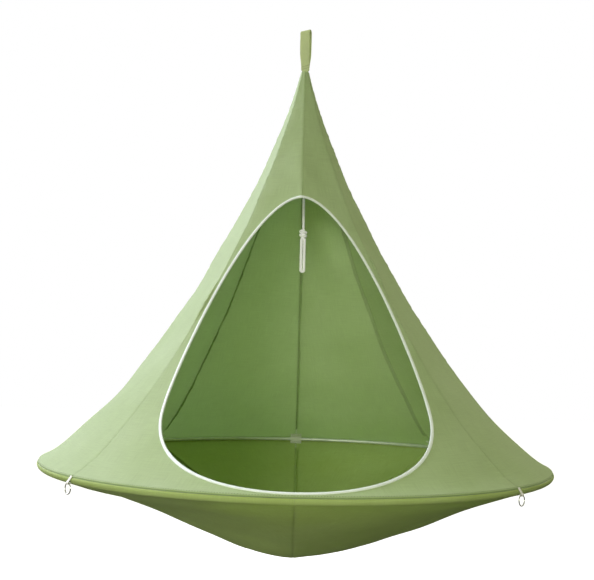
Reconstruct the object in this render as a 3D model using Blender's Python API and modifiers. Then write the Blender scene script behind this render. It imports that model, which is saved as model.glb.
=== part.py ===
"""Hanging cone hammock for one child.

Eight tapered gores make a tall canopy that flares from an octagonal neck to a round rim, and eight
more make the shallow pouch below it. A hoop of four curved tubes, joined by inner ferrules, spreads
the rim. A doorway is cut through the two front gores and bound with piping. The pod hangs from a
webbing loop that passes round a bar of stitching in the neck.

Units are metres and degrees, +Z is up and the doorway faces -Y. The origin is the inside of the
loop's crown, where the hammock is hung. Heights called "height" are measured up from the rim plane.
"""

import math

import bmesh
import bpy
from mathutils import Matrix, Vector
from mathutils.geometry import interpolate_bezier

# Overall form
RIM_DIAMETER = 1.000          # over the fabric at its widest
CONE_HEIGHT = 0.822           # rim plane to the neck's top edge
LOOP_HEIGHT = 0.0945          # neck's top edge to the inside of the loop's crown
POUCH_DEPTH = 0.198           # rim plane to the pouch's lowest point

# Fabric panels
GORE_COLUMNS = 6              # facets across one gore
CANOPY_ROWS = 17
POUCH_ROWS = 9
FABRIC = 0.0010               # doubled and sewn cloth
CLEARANCE = 0.0003            # between pieces that touch
NECK_RADIUS = 0.0090          # to a seam, at the neck's top edge
NECK_SLOPE = 13.8             # of the canopy at the neck, off the vertical
NECK_PULL = 0.332             # how far down that slope holds
FLARE_SLOPE = 23.7            # of the canopy at the rim, off the horizontal
FLARE_PULL = 0.124
ROUNDING_HEIGHT = 0.35        # the section turns from round at the rim to octagonal here
POUCH_SLOPE = 18.2            # of the pouch at the rim, off the horizontal
POUCH_PULL = 0.210
TIP_PULL = 0.077              # how wide the pouch's rounded tip is
TIP_RADIUS = 0.0020           # where the pouch gores are drawn together
POUCH_FLATNESS = 0.5          # share of a true octagon in the pouch's section
POUCH_ROUNDING = 0.08         # depth over which the pouch takes on that section
SEAM_ALLOWANCE = 0.0080       # cloth turned inward along each gore seam
ALLOWANCE_SHARE = 0.35        # of the radius, the most that the allowance takes near the axis
ALLOWANCE_OFF_RIM = 0.030     # height at which the canopy's allowance starts
ALLOWANCE_OFF_NECK = 0.102    # how far below the neck's top edge it ends
ALLOWANCE_OFF_TIP = 0.030     # radius at which the pouch's allowance starts
ALLOWANCE_OFF_HEM = 0.045     # how far inside the rim it ends

# Hem, which rolls round the hoop
HEM_ROLL = 0.0080             # outer radius of the roll
HEM_SEAM_ANGLE = 27.0         # where canopy and pouch are sewn together, above the rim plane
CANOPY_HEM_STEPS = 2          # facets of the roll above the hem seam
POUCH_HEM_STEPS = 5           # facets of the roll below it

# Doorway, as a front elevation
DOOR_HEADROOM = 0.303         # neck's top edge to the doorway's top
DOOR_SILL = 0.0005            # lower edge over the top of the hem's roll
DOOR_WIDEST = 0.1035          # height at which it is widest
DOOR_SEAM_MARGIN = 0.053      # from its widest points to the seams beside them
DOOR_TOP_PULL = 0.0996
DOOR_UPPER_PULL = 0.0809
DOOR_LOWER_PULL = 0.065
DOOR_BOTTOM_PULL = 0.1459
DOOR_POINTS = 64
PIPING_RADIUS = 0.0030
CUT_REACH = 0.012             # how far the doorway's cutter stands off both faces
FINE_ROWS = 120               # of the seam line that the doorway is laid out on
FINE_STEPS = 200              # of each curve of its outline
SEARCH_STEPS = 40             # halvings that find a place on the canopy
NORMAL_STEP = 0.0020          # to either side, for the slope of the canopy there

# Hoop
TUBE_RADIUS = 0.00425
TUBE_WALL = 0.0010
TUBE_SIDES = 8
FERRULE_LENGTH = 0.060
TUBE_JOINT_GAP = 0.0003

# Keeper tabs, which hold the hoop to the gore seams
TAB_WIDTH = 0.029
TAB_THICKNESS = 0.0010
TAB_UP = 0.024                # along the canopy from the hoop
TAB_DOWN = 0.014              # along the pouch from the hoop
TAB_FACET = 30                # degrees of each flat of the strap round the hoop

# Webbing loop at the neck
WEBBING = 0.0014
LOOP_WIDTH = 0.0205
LOOP_FOOT_WIDTH = 0.0110      # where the webbing is pinched into the neck
LOOP_PINCH_HEIGHT = 0.0055    # over the bar of stitching, up to which it stays pinched
LOOP_STITCH_WIDTH = 0.0180    # just above the neck
LOOP_STITCH_HEIGHT = 0.0120   # over the bar of stitching
LOOP_OPENING = 0.0120         # between the legs
LOOP_PARTING = 0.058          # height over which the legs part
LOOP_SPREADING = 0.033        # height over which the webbing takes its full width
LOOP_SKEW = 0.0040            # sideways shift from the front leg to the back one
CROWN_SLANT = 0.26            # rise over run of the folded crown
CROWN_DEPTH = 0.025           # below the crown, from where the webbing takes that slant
BARTACK_RADIUS = 0.0010
BARTACK_DEPTH = 0.0040        # below the neck's top edge

# Pull cord inside the canopy
CORD_RADIUS = 0.0030
CORD_LEAN = 0.0045            # sideways, from the neck to the knot
KNOT_DROP = 0.354             # neck's top edge to the middle of the knot
KNOT_SIZE = (0.018, 0.016, 0.024)
CORD_LOOP_LENGTH = 0.083      # middle of the knot to the bottom of the doubled loop
CORD_STRAND_GAP = 0.0006

# Side tethers at the two front seams
TETHER_WIDTH = 0.0060
TETHER_THICKNESS = 0.0008
TETHER_REACH = 0.0085         # from the hem to the eye
TETHER_LEAN = 38.0            # off the vertical
TETHER_START = 12.0           # degrees of the hem's roll above the hem seam, where the tape starts
TETHER_LEAVES = 18.0          # where the tape leaves the roll, above the rim plane
EYE_TURN = 240.0              # how far the tape goes round the ring's wire
EYE_STEPS = 6
STEEL_RING_RADIUS = 0.0085    # to the middle of the wire
STEEL_WIRE = 0.0009

GORE_NAMES = ("front_right", "right_front", "right_back", "back_right",
              "back_left", "left_back", "left_front", "front_left")
SEAM_NAMES = ("front", "front_right", "right", "back_right", "back", "back_left", "left", "front_left")
TUBE_NAMES = ("front_right", "back_right", "back_left", "front_left")
JOINT_NAMES = ("front", "right", "back", "left")

# Sizes that follow from those above
RIM_RADIUS = RIM_DIAMETER / 2
RIM_Z = -(LOOP_HEIGHT + CONE_HEIGHT)
BARTACK_Z = -(LOOP_HEIGHT + BARTACK_DEPTH)
GORE_ANGLE = 360.0 / len(GORE_NAMES)
TUBE_ANGLE = 360.0 / len(TUBE_NAMES)
FACET_ANGLE = GORE_ANGLE / GORE_COLUMNS
ROLL_CENTRE = RIM_RADIUS - HEM_ROLL
HOOP_RADIUS = RIM_RADIUS - FABRIC - CLEARANCE - TUBE_RADIUS
FERRULE_RADIUS = (TUBE_RADIUS - TUBE_WALL) * math.cos(math.pi / TUBE_SIDES) - CLEARANCE
DOOR_BOTTOM = HEM_ROLL + DOOR_SILL
KNOT_HEIGHT = CONE_HEIGHT - KNOT_DROP


def clear_scene():
    """Remove everything that a new file holds."""
    for obj in list(bpy.data.objects):
        bpy.data.objects.remove(obj)


def new_collection(name):
    """Add a collection to the scene."""
    collection = bpy.data.collections.new(name)
    bpy.context.scene.collection.children.link(collection)
    return collection


def finish(name, colour, roughness, metallic=0.0):
    """Make a plain Principled material."""
    material = bpy.data.materials.new(name)
    material.use_nodes = True
    shader = material.node_tree.nodes["Principled BSDF"]
    shader.inputs["Base Color"].default_value = (*colour, 1.0)
    shader.inputs["Roughness"].default_value = roughness
    shader.inputs["Metallic"].default_value = metallic
    return material


def new_object(name, data, material, parent=None, height=RIM_Z, azimuth=0.0):
    """Put data into the parts collection, its own zero at a world height, turned about the axis."""
    obj = bpy.data.objects.new(name, data)
    PARTS.objects.link(obj)
    obj.data.materials.clear()
    obj.data.materials.append(material)
    obj.parent = parent
    obj.location.z = height - (parent.location.z if parent else 0.0)
    obj.rotation_euler.z = math.radians(azimuth)
    return obj


def pivot(name, height):
    """An empty on a joint's axis, which carries the pieces that move about it."""
    empty = bpy.data.objects.new(name, None)
    PARTS.objects.link(empty)
    empty.location.z = height
    return empty


def mesh_from_rows(name, rows, closed=False):
    """Loft a sheet through rows of points. A None leaves that point out, with the faces round it."""
    bm = bmesh.new()
    grid = [[bm.verts.new(point) if point is not None else None for point in row] for row in rows]
    pairs = list(zip(grid, grid[1:]))
    if closed:
        pairs.append((grid[-1], grid[0]))
    for lower, upper in pairs:
        for i in range(len(lower) - 1):
            corners = (lower[i], lower[i + 1], upper[i + 1], upper[i])
            if None not in corners:
                bm.faces.new(corners)
    mesh = bpy.data.meshes.new(name)
    bm.to_mesh(mesh)
    bm.free()
    return mesh


def thicken(obj, thickness, along_normals=False):
    """Give a sheet its thickness, on the side away from its normals unless told otherwise."""
    solidify = obj.modifiers.new("thickness", "SOLIDIFY")
    solidify.thickness = thickness
    solidify.offset = 1.0 if along_normals else -1.0
    solidify.use_even_offset = True


def tube_curve(name, points, radius, cyclic=False):
    """A round tube with closed ends along a polyline."""
    curve = bpy.data.curves.new(name, "CURVE")
    curve.dimensions = "3D"
    curve.bevel_depth = radius
    curve.bevel_resolution = 2
    curve.use_fill_caps = not cyclic
    spline = curve.splines.new("POLY")
    spline.points.add(len(points) - 1)
    for target, point in zip(spline.points, points):
        target.co = (*point, 1.0)
    spline.use_cyclic_u = cyclic
    return curve


def direction(angle):
    """Unit vector in the plane of radius and height, the angle measured up from outward."""
    return Vector((math.cos(math.radians(angle)), math.sin(math.radians(angle))))


def smooth_step(value):
    """Ease from 0 to 1 as value does."""
    value = min(max(value, 0.0), 1.0)
    return value * value * (3.0 - 2.0 * value)


def arc(centre, radius, start, end, steps):
    """Points of an arc in the plane of radius and height."""
    return [centre + radius * direction(start + (end - start) * i / steps) for i in range(steps + 1)]


def canopy_line(rows):
    """Outer line of a canopy seam as (radius, height), from the hem seam up to the neck."""
    roll = arc(Vector((ROLL_CENTRE, 0.0)), HEM_ROLL, HEM_SEAM_ANGLE, 90.0 - FLARE_SLOPE, CANOPY_HEM_STEPS)
    foot = roll[-1]
    neck = Vector((NECK_RADIUS, CONE_HEIGHT))
    flare = foot + FLARE_PULL * direction(180.0 - FLARE_SLOPE)
    throat = neck + NECK_PULL * direction(NECK_SLOPE - 90.0)
    return roll + interpolate_bezier(foot, flare, throat, neck, rows + 1)[1:]


def pouch_line(rows):
    """Outer line of a pouch seam as (radius, height), from the tip out to the hem seam."""
    canopy_step = (90.0 - FLARE_SLOPE - HEM_SEAM_ANGLE) / CANOPY_HEM_STEPS
    pouch_step = (90.0 - POUCH_SLOPE + HEM_SEAM_ANGLE) / POUCH_HEM_STEPS
    mitre = FABRIC * (math.sin(math.radians(canopy_step / 2)) + math.sin(math.radians(pouch_step / 2)))
    seam = HEM_SEAM_ANGLE - math.degrees((CLEARANCE + mitre) / HEM_ROLL)
    roll = arc(Vector((ROLL_CENTRE, 0.0)), HEM_ROLL, POUCH_SLOPE - 90.0, seam, POUCH_HEM_STEPS)
    rim = roll[0]
    tip = Vector((TIP_RADIUS, -POUCH_DEPTH))
    bowl = rim + POUCH_PULL * direction(180.0 + POUCH_SLOPE)
    floor = tip + TIP_PULL * direction(0.0)
    return interpolate_bezier(tip, floor, bowl, rim, rows + 1)[:-1] + roll


def section_factor(azimuth, flatness):
    """Radius of the cross-section against a seam's: 1 at the seams, less between them where flat."""
    off_centre = (azimuth % GORE_ANGLE) - GORE_ANGLE / 2
    chord = math.cos(math.radians(GORE_ANGLE / 2)) / math.cos(math.radians(off_centre))
    return 1.0 - flatness * (1.0 - chord)


def canopy_flatness(height):
    """Share of a true octagon in the canopy's section."""
    return smooth_step(height / ROUNDING_HEIGHT)


def pouch_flatness(height):
    """Share of a true octagon in the pouch's section."""
    return POUCH_FLATNESS * smooth_step(-height / POUCH_ROUNDING)


def around(radius, height, azimuth):
    """Point at an azimuth counted from the front, counter-clockwise from above."""
    angle = math.radians(azimuth)
    return Vector((radius * math.sin(angle), -radius * math.cos(angle), height))


def gore_mesh(name, line, flatness, has_allowance):
    """One gore, its middle facing the front, with an allowance turned inward along both seams."""
    half = GORE_ANGLE / 2
    rows = []
    for i, (radius, height) in enumerate(line):
        before, after = line[max(i - 1, 0)], line[min(i + 1, len(line) - 1)]
        along = (after - before).normalized()
        allowance = min(SEAM_ALLOWANCE, ALLOWANCE_SHARE * radius)
        turned_in = allowance * Vector((-along.y, along.x))
        row = []
        for column in range(GORE_COLUMNS + 1):
            azimuth = -half + FACET_ANGLE * column
            factor = section_factor(azimuth + half, flatness(height))
            row.append(around(radius * factor, height, azimuth))
        stands = has_allowance(radius, height)
        chord = (row[1] - row[0]).normalized()
        mitre = 0.0 if stands else FABRIC * abs(chord.dot(around(1.0, 0.0, -half)))
        inset = CLEARANCE / 2 + mitre
        left, right = row[0], row[-1]
        row[0] = left + around(inset, 0.0, 90.0 - half)
        row[-1] = right - around(inset, 0.0, 90.0 + half)
        left_fold = row[0] + around(turned_in.x, turned_in.y, -half) if stands else None
        right_fold = row[-1] + around(turned_in.x, turned_in.y, half) if stands else None
        rows.append([left_fold] + row + [right_fold])
    return mesh_from_rows(name, rows)


def canopy_has_allowance(radius, height):
    """Whether a canopy seam has its allowance here."""
    return ALLOWANCE_OFF_RIM < height < CONE_HEIGHT - ALLOWANCE_OFF_NECK


def pouch_has_allowance(radius, height):
    """Whether a pouch seam has its allowance here."""
    return ALLOWANCE_OFF_TIP < radius < RIM_RADIUS - ALLOWANCE_OFF_HEM


def seam_radius(height, line):
    """Radius of a canopy seam at a height."""
    for (lower_radius, low), (upper_radius, high) in zip(line, line[1:]):
        if height <= high:
            break
    return lower_radius + (upper_radius - lower_radius) * (height - low) / (high - low)


def front_point(x, height, line):
    """Point of the canopy's front at a sideways place and a height."""
    radius = seam_radius(height, line)
    near, far = 0.0, 90.0
    for _ in range(SEARCH_STEPS):
        azimuth = (near + far) / 2
        reach = radius * section_factor(azimuth, canopy_flatness(height))
        if reach * math.sin(math.radians(azimuth)) < abs(x):
            near = azimuth
        else:
            far = azimuth
    return around(reach, height, math.copysign(azimuth, x))


def door_outline(line):
    """Evenly spaced points of the doorway as (x, height), clockwise from the top as seen from the front."""
    side_seam = seam_radius(DOOR_WIDEST, line) * math.sin(math.radians(GORE_ANGLE))
    top = Vector((0.0, CONE_HEIGHT - DOOR_HEADROOM))
    widest = Vector((side_seam - DOOR_SEAM_MARGIN, DOOR_WIDEST))
    bottom = Vector((0.0, DOOR_BOTTOM))
    upper = interpolate_bezier(top, top + Vector((DOOR_TOP_PULL, 0.0)),
                               widest + Vector((0.0, DOOR_UPPER_PULL)), widest, FINE_STEPS)
    lower = interpolate_bezier(widest, widest - Vector((0.0, DOOR_LOWER_PULL)),
                               bottom + Vector((DOOR_BOTTOM_PULL, 0.0)), bottom, FINE_STEPS)
    right = upper + lower[1:]
    travelled = [0.0]
    for a, b in zip(right, right[1:]):
        travelled.append(travelled[-1] + (b - a).length)
    half_count = DOOR_POINTS // 2
    even = []
    k = 0
    for i in range(half_count + 1):
        wanted = travelled[-1] * i / half_count
        while k < len(right) - 2 and travelled[k + 1] < wanted:
            k += 1
        share = (wanted - travelled[k]) / (travelled[k + 1] - travelled[k])
        even.append(right[k].lerp(right[k + 1], share))
    mirrored = [Vector((-point.x, point.y)) for point in reversed(even[1:-1])]
    return even + mirrored


def door_frames():
    """For each doorway point: its place on the canopy, the outward normal and the way out of the hole."""
    line = canopy_line(FINE_ROWS)
    step = NORMAL_STEP
    outline = door_outline(line)
    places = [front_point(point.x, point.y, line) for point in outline]
    frames = []
    for i, (place, point) in enumerate(zip(places, outline)):
        side = front_point(point.x + step, point.y, line) - front_point(point.x - step, point.y, line)
        rise = front_point(point.x, point.y + step, line) - front_point(point.x, point.y - step, line)
        normal = side.cross(rise).normalized()
        along = (places[(i + 1) % len(places)] - places[i - 1]).normalized()
        frames.append((place, normal, normal.cross(along).normalized()))
    return frames


def door_cutter(frames):
    """A closed plug through the doorway, its wall square to the cloth all the way round."""
    offset = PIPING_RADIUS + CLEARANCE
    edge = [place - normal * FABRIC / 2 + outward * offset for place, normal, outward in frames]
    normals = [normal for _, normal, _ in frames]
    middle = sum(edge, Vector()) / len(edge)
    bm = bmesh.new()
    inner = [bm.verts.new(point - normal * CUT_REACH) for point, normal in zip(edge, normals)]
    outer = [bm.verts.new(point + normal * CUT_REACH) for point, normal in zip(edge, normals)]
    inside = bm.verts.new(middle + Vector((0.0, RIM_RADIUS / 2, 0.0)))
    outside = bm.verts.new(middle - Vector((0.0, RIM_RADIUS, 0.0)))
    for i in range(len(edge)):
        k = (i + 1) % len(edge)
        bm.faces.new((inner[i], inner[k], outer[k], outer[i]))
        bm.faces.new((inner[k], inner[i], inside))
        bm.faces.new((outer[i], outer[k], outside))
    bmesh.ops.recalc_face_normals(bm, faces=bm.faces)
    mesh = bpy.data.meshes.new("doorway_cutter")
    bm.to_mesh(mesh)
    bm.free()
    cutter = bpy.data.objects.new("doorway_cutter", mesh)
    CUTTERS.objects.link(cutter)
    cutter.location.z = RIM_Z
    cutter.display_type = "WIRE"
    cutter.hide_render = True
    return cutter


def build_canopy(parent, material, piping_material):
    """Eight canopy gores, the doorway cut through the front two, and its piping."""
    mesh = gore_mesh("canopy_gore", canopy_line(CANOPY_ROWS), canopy_flatness, canopy_has_allowance)
    frames = door_frames()
    cutter = door_cutter(frames)
    for i, name in enumerate(GORE_NAMES):
        gore = new_object("canopy_gore_" + name, mesh, material, parent, azimuth=(i + 0.5) * GORE_ANGLE)
        thicken(gore, FABRIC)
        if name.startswith("front"):
            cut = gore.modifiers.new("doorway", "BOOLEAN")
            cut.operation = "DIFFERENCE"
            cut.object = cutter
    path = [place - normal * FABRIC / 2 for place, normal, _ in frames]
    piping = tube_curve("doorway_piping", path, PIPING_RADIUS, cyclic=True)
    new_object("doorway_piping", piping, piping_material, parent)


def build_pouch(parent, material):
    """Eight pouch gores, which start at the hem seam and roll under the hoop."""
    mesh = gore_mesh("pouch_gore", pouch_line(POUCH_ROWS), pouch_flatness, pouch_has_allowance)
    for i, name in enumerate(GORE_NAMES):
        gore = new_object("pouch_gore_" + name, mesh, material, parent, azimuth=(i + 0.5) * GORE_ANGLE)
        thicken(gore, FABRIC)


def build_hoop(parent, tube_material, ferrule_material):
    """Curved tubes butted into a hoop, with a ferrule inside each joint."""
    gap_angle = math.degrees(TUBE_JOINT_GAP / HOOP_RADIUS)
    bm = bmesh.new()
    ring = []
    for i in range(TUBE_SIDES):
        around_tube = TUBE_RADIUS * direction(360.0 * (i + 0.5) / TUBE_SIDES)
        ring.append(bm.verts.new((0.0, -HOOP_RADIUS - around_tube.x, around_tube.y)))
    for i in range(TUBE_SIDES):
        bm.edges.new((ring[i], ring[(i + 1) % TUBE_SIDES]))
    mesh = bpy.data.meshes.new("hoop_tube")
    bm.to_mesh(mesh)
    bm.free()
    for i, name in enumerate(TUBE_NAMES):
        tube = new_object("hoop_tube_" + name, mesh, tube_material, parent, azimuth=i * TUBE_ANGLE + gap_angle / 2)
        bend = tube.modifiers.new("bend", "SCREW")
        bend.angle = math.radians(TUBE_ANGLE - gap_angle)
        bend.steps = round(TUBE_ANGLE / FACET_ANGLE)
        bend.render_steps = bend.steps
        bend.use_normal_calculate = True
        thicken(tube, TUBE_WALL)
    facet = 2 * HOOP_RADIUS * math.sin(math.radians(FACET_ANGLE / 2))
    corner = around(HOOP_RADIUS, 0.0, 0.0)
    path = []
    for side in (-1, 0, 1):
        away = around(HOOP_RADIUS, 0.0, side * FACET_ANGLE) - corner
        path.append(corner + away * FERRULE_LENGTH / 2 / facet)
    ferrule = tube_curve("hoop_ferrule", path, FERRULE_RADIUS)
    for i, name in enumerate(JOINT_NAMES):
        new_object("hoop_ferrule_" + name, ferrule, ferrule_material, parent, azimuth=i * TUBE_ANGLE)


def tab_mesh():
    """A strap round the inner side of the hoop, sewn flat to the canopy above and the pouch below."""
    hoop = Vector((HOOP_RADIUS, 0.0))
    roll = Vector((ROLL_CENTRE, 0.0))
    canopy_normal = direction(90.0 - FLARE_SLOPE)
    pouch_normal = direction(POUCH_SLOPE - 90.0)
    inside = HEM_ROLL - FABRIC - CLEARANCE
    canopy_gap = inside + (roll - hoop).dot(canopy_normal)
    pouch_gap = inside + (roll - hoop).dot(pouch_normal)
    wrap = (TUBE_RADIUS + CLEARANCE) / math.cos(math.radians(TAB_FACET / 2))
    path = [hoop + pouch_normal * pouch_gap + direction(180.0 + POUCH_SLOPE) * reach
            for reach in (TAB_DOWN, TAB_DOWN / 2)]
    path += [hoop + wrap * direction(angle) for angle in range(255, 104, -TAB_FACET)]
    path += [hoop + canopy_normal * canopy_gap + direction(180.0 - FLARE_SLOPE) * reach
             for reach in (TAB_UP / 3, TAB_UP)]
    rows = []
    for radius, height in path:
        seam = around(radius, height, 0.0)
        left = (around(radius, height, -FACET_ANGLE) - seam).normalized() * TAB_WIDTH / 2
        right = (around(radius, height, FACET_ANGLE) - seam).normalized() * TAB_WIDTH / 2
        rows.append([seam + left, seam, seam + right])
    return mesh_from_rows("keeper_tab", rows)


def build_tabs(parent, material):
    """A keeper tab at every seam but the front one, where the doorway leaves no room."""
    mesh = tab_mesh()
    for i, name in enumerate(SEAM_NAMES):
        if name != "front":
            tab = new_object("keeper_tab_" + name, mesh, material, parent, azimuth=i * GORE_ANGLE)
            thicken(tab, TAB_THICKNESS)


def loop_path():
    """Inner line of the webbing loop as (y, height over the bartack), up the back leg and down the front."""
    foot = BARTACK_RADIUS + CLEARANCE
    half_opening = LOOP_OPENING / 2
    crown = LOOP_HEIGHT + BARTACK_DEPTH - half_opening
    pinch, stitches = LOOP_PINCH_HEIGHT, LOOP_STITCH_HEIGHT
    heights = [0.0, pinch, (pinch + stitches) / 2, stitches]
    heights += [crown * share for share in (0.35, 0.55, 0.8, 1.0)]
    leg = []
    for height in heights:
        apart = smooth_step((height - pinch) / LOOP_PARTING)
        leg.append(Vector((foot + (half_opening - foot) * apart, height)))
    top = arc(Vector((0.0, crown)), half_opening, 0.0, 180.0, 8)[1:-1]
    front = [Vector((-point.x, point.y)) for point in reversed(leg)]
    bottom = arc(Vector((0.0, 0.0)), foot, 180.0, 360.0, 6)[1:-1]
    return leg + top + front + bottom


def build_loop(material, stitch_material, parent):
    """The webbing loop, closed round the bar of stitching that holds it in the neck."""
    crown = LOOP_HEIGHT + BARTACK_DEPTH
    rows = []
    for y, height in loop_path():
        release = smooth_step((height - LOOP_PINCH_HEIGHT) / (LOOP_STITCH_HEIGHT - LOOP_PINCH_HEIGHT))
        spread = smooth_step((height - LOOP_STITCH_HEIGHT) / LOOP_SPREADING)
        width = LOOP_FOOT_WIDTH + (LOOP_STITCH_WIDTH - LOOP_FOOT_WIDTH) * release
        width += (LOOP_WIDTH - LOOP_STITCH_WIDTH) * spread
        skew = LOOP_SKEW * spread * y / LOOP_OPENING
        slant = CROWN_SLANT * smooth_step(1.0 - (crown - height) / CROWN_DEPTH)
        ends = (skew - width / 2, skew + width / 2)
        rows.append([Vector((x, y, height + slant * x)) for x in ends])
    loop = new_object("hang_loop", mesh_from_rows("hang_loop", rows, closed=True), material, height=BARTACK_Z)
    thicken(loop, WEBBING)
    height = CONE_HEIGHT - BARTACK_DEPTH
    seam = NECK_RADIUS + BARTACK_DEPTH * math.tan(math.radians(NECK_SLOPE))
    wall = FABRIC / math.cos(math.radians(GORE_ANGLE / 2))
    reach = seam - wall - CLEARANCE - BARTACK_RADIUS * math.tan(math.radians(GORE_ANGLE / 2))
    bar = tube_curve("neck_bartack", [(-reach, 0.0, height), (reach, 0.0, height)], BARTACK_RADIUS)
    new_object("neck_bartack", bar, stitch_material, parent)


def build_cord(parent, material):
    """The pull cord, its knot and the doubled loop below it."""
    top = CONE_HEIGHT - BARTACK_DEPTH - BARTACK_RADIUS - WEBBING - 2 * CLEARANCE
    knot_top = KNOT_HEIGHT + KNOT_SIZE[2] / 2
    start, end = Vector((0.0, 0.0, top)), Vector((CORD_LEAN, 0.0, knot_top + CLEARANCE))
    points = [start.lerp(end, i / 16) for i in range(17)]
    new_object("pull_cord", tube_curve("pull_cord", points, CORD_RADIUS), material, parent)

    bm = bmesh.new()
    bmesh.ops.create_uvsphere(bm, u_segments=12, v_segments=8, radius=0.5)
    bmesh.ops.scale(bm, vec=KNOT_SIZE, verts=bm.verts)
    bmesh.ops.translate(bm, vec=(CORD_LEAN, 0.0, KNOT_HEIGHT), verts=bm.verts)
    mesh = bpy.data.meshes.new("cord_knot")
    bm.to_mesh(mesh)
    bm.free()
    new_object("cord_knot", mesh, material, parent)

    turn = CORD_RADIUS + CORD_STRAND_GAP / 2
    low = KNOT_HEIGHT - CORD_LOOP_LENGTH + CORD_RADIUS + turn
    high = KNOT_HEIGHT - KNOT_SIZE[2] / 2 - CLEARANCE
    leg = [low + (high - low) * i / 4 for i in range(5)]
    points = [Vector((CORD_LEAN - turn, 0.0, height)) for height in reversed(leg)]
    bend = arc(Vector((CORD_LEAN, low)), turn, 180.0, 360.0, 8)[1:-1]
    points += [Vector((x, 0.0, height)) for x, height in bend]
    points += [Vector((CORD_LEAN + turn, 0.0, height)) for height in leg]
    new_object("cord_loop", tube_curve("cord_loop", points, CORD_RADIUS), material, parent)


def tether_path():
    """Inner line of a tether as (radius, height): over the hem from its seam, out, and round the ring's wire."""
    roll = Vector((ROLL_CENTRE, 0.0))
    over = arc(roll, HEM_ROLL + CLEARANCE, HEM_SEAM_ANGLE + TETHER_START, TETHER_LEAVES, 2)
    heading = TETHER_LEAN - 90.0
    ring_sag = STEEL_RING_RADIUS - math.sqrt(STEEL_RING_RADIUS ** 2 - (TETHER_WIDTH / 2) ** 2)
    eye_radius = STEEL_WIRE + CLEARANCE + ring_sag
    leave = over[-1] + TETHER_REACH * direction(heading)
    eye = leave + eye_radius * direction(heading - 90.0)
    corner_radius = eye_radius / math.cos(math.radians(EYE_TURN / EYE_STEPS / 2))
    around_wire = arc(eye, corner_radius, heading + 90.0, heading + 90.0 - EYE_TURN, EYE_STEPS)
    return over + around_wire, eye


def build_tethers(parent, tape_material, steel_material):
    """A sewn tape and a steel ring at each front seam, and the ring's own pivot."""
    path, eye = tether_path()
    rows = []
    for radius, height in path:
        middle = around(radius, height, 0.0)
        half = Vector((TETHER_WIDTH / 2, 0.0, 0.0))
        rows.append([middle + half, middle - half])
    tape_mesh = mesh_from_rows("tether_tape", rows)
    for side, sign in (("right", 1), ("left", -1)):
        azimuth = sign * GORE_ANGLE
        tape = new_object("tether_tape_" + side, tape_mesh, tape_material, parent, azimuth=azimuth)
        thicken(tape, TETHER_THICKNESS, along_normals=True)
        bpy.ops.mesh.primitive_torus_add(major_radius=STEEL_RING_RADIUS, minor_radius=STEEL_WIRE,
                                         major_segments=20, minor_segments=6)
        ring_mesh = bpy.context.object.data
        bpy.data.objects.remove(bpy.context.object)
        ring_mesh.transform(Matrix.Rotation(math.radians(90.0), 4, "X"))
        ring_mesh.transform(Matrix.Translation((0.0, 0.0, -STEEL_RING_RADIUS)))
        ring = new_object("tether_ring_" + side, ring_mesh, steel_material, azimuth=azimuth)
        ring.location = around(eye.x, RIM_Z + eye.y, azimuth)


clear_scene()
PARTS = new_collection("hanging_cone_hammock")
CUTTERS = new_collection("cutters")

canopy_cloth = finish("canopy_cloth", (0.36, 0.47, 0.20), 0.85)
pouch_cloth = finish("pouch_cloth", (0.20, 0.27, 0.09), 0.85)
white_piping = finish("white_piping", (0.80, 0.88, 0.80), 0.6)
hoop_metal = finish("hoop_metal", (0.72, 0.74, 0.73), 0.35, 1.0)
ferrule_metal = finish("ferrule_metal", (0.50, 0.52, 0.52), 0.4, 1.0)
keeper_cloth = finish("keeper_cloth", (0.46, 0.52, 0.36), 0.8)
loop_webbing = finish("loop_webbing", (0.40, 0.46, 0.22), 0.8)
stitching = finish("stitching", (0.16, 0.20, 0.08), 0.9)
cotton_cord = finish("cotton_cord", (0.82, 0.80, 0.68), 0.9)
white_tape = finish("white_tape", (0.85, 0.85, 0.80), 0.8)
bright_steel = finish("bright_steel", (0.62, 0.62, 0.62), 0.25, 1.0)

pod_pivot = pivot("pod_pivot", BARTACK_Z)
cord_pivot = pivot("cord_pivot", BARTACK_Z)
build_canopy(pod_pivot, canopy_cloth, white_piping)
build_pouch(pod_pivot, pouch_cloth)
build_hoop(pod_pivot, hoop_metal, ferrule_metal)
build_tabs(pod_pivot, keeper_cloth)
build_tethers(pod_pivot, white_tape, bright_steel)
build_loop(loop_webbing, stitching, pod_pivot)
build_cord(cord_pivot, cotton_cord)
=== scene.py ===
"""Looks of the hanging cone hammock: cloth, binding, webbing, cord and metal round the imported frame.

Units are metres and degrees, +Z is up and the doorway faces -Y. Azimuths are counted from the front,
counter-clockwise from above. Heights called "height" are measured up from the rim plane. "Along" is a
length measured on the cloth, up or out along a seam.
"""

import logging
import math
from dataclasses import dataclass
from enum import Enum

import bmesh
import bpy
import numpy as np
from mathutils import Matrix, Vector


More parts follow.
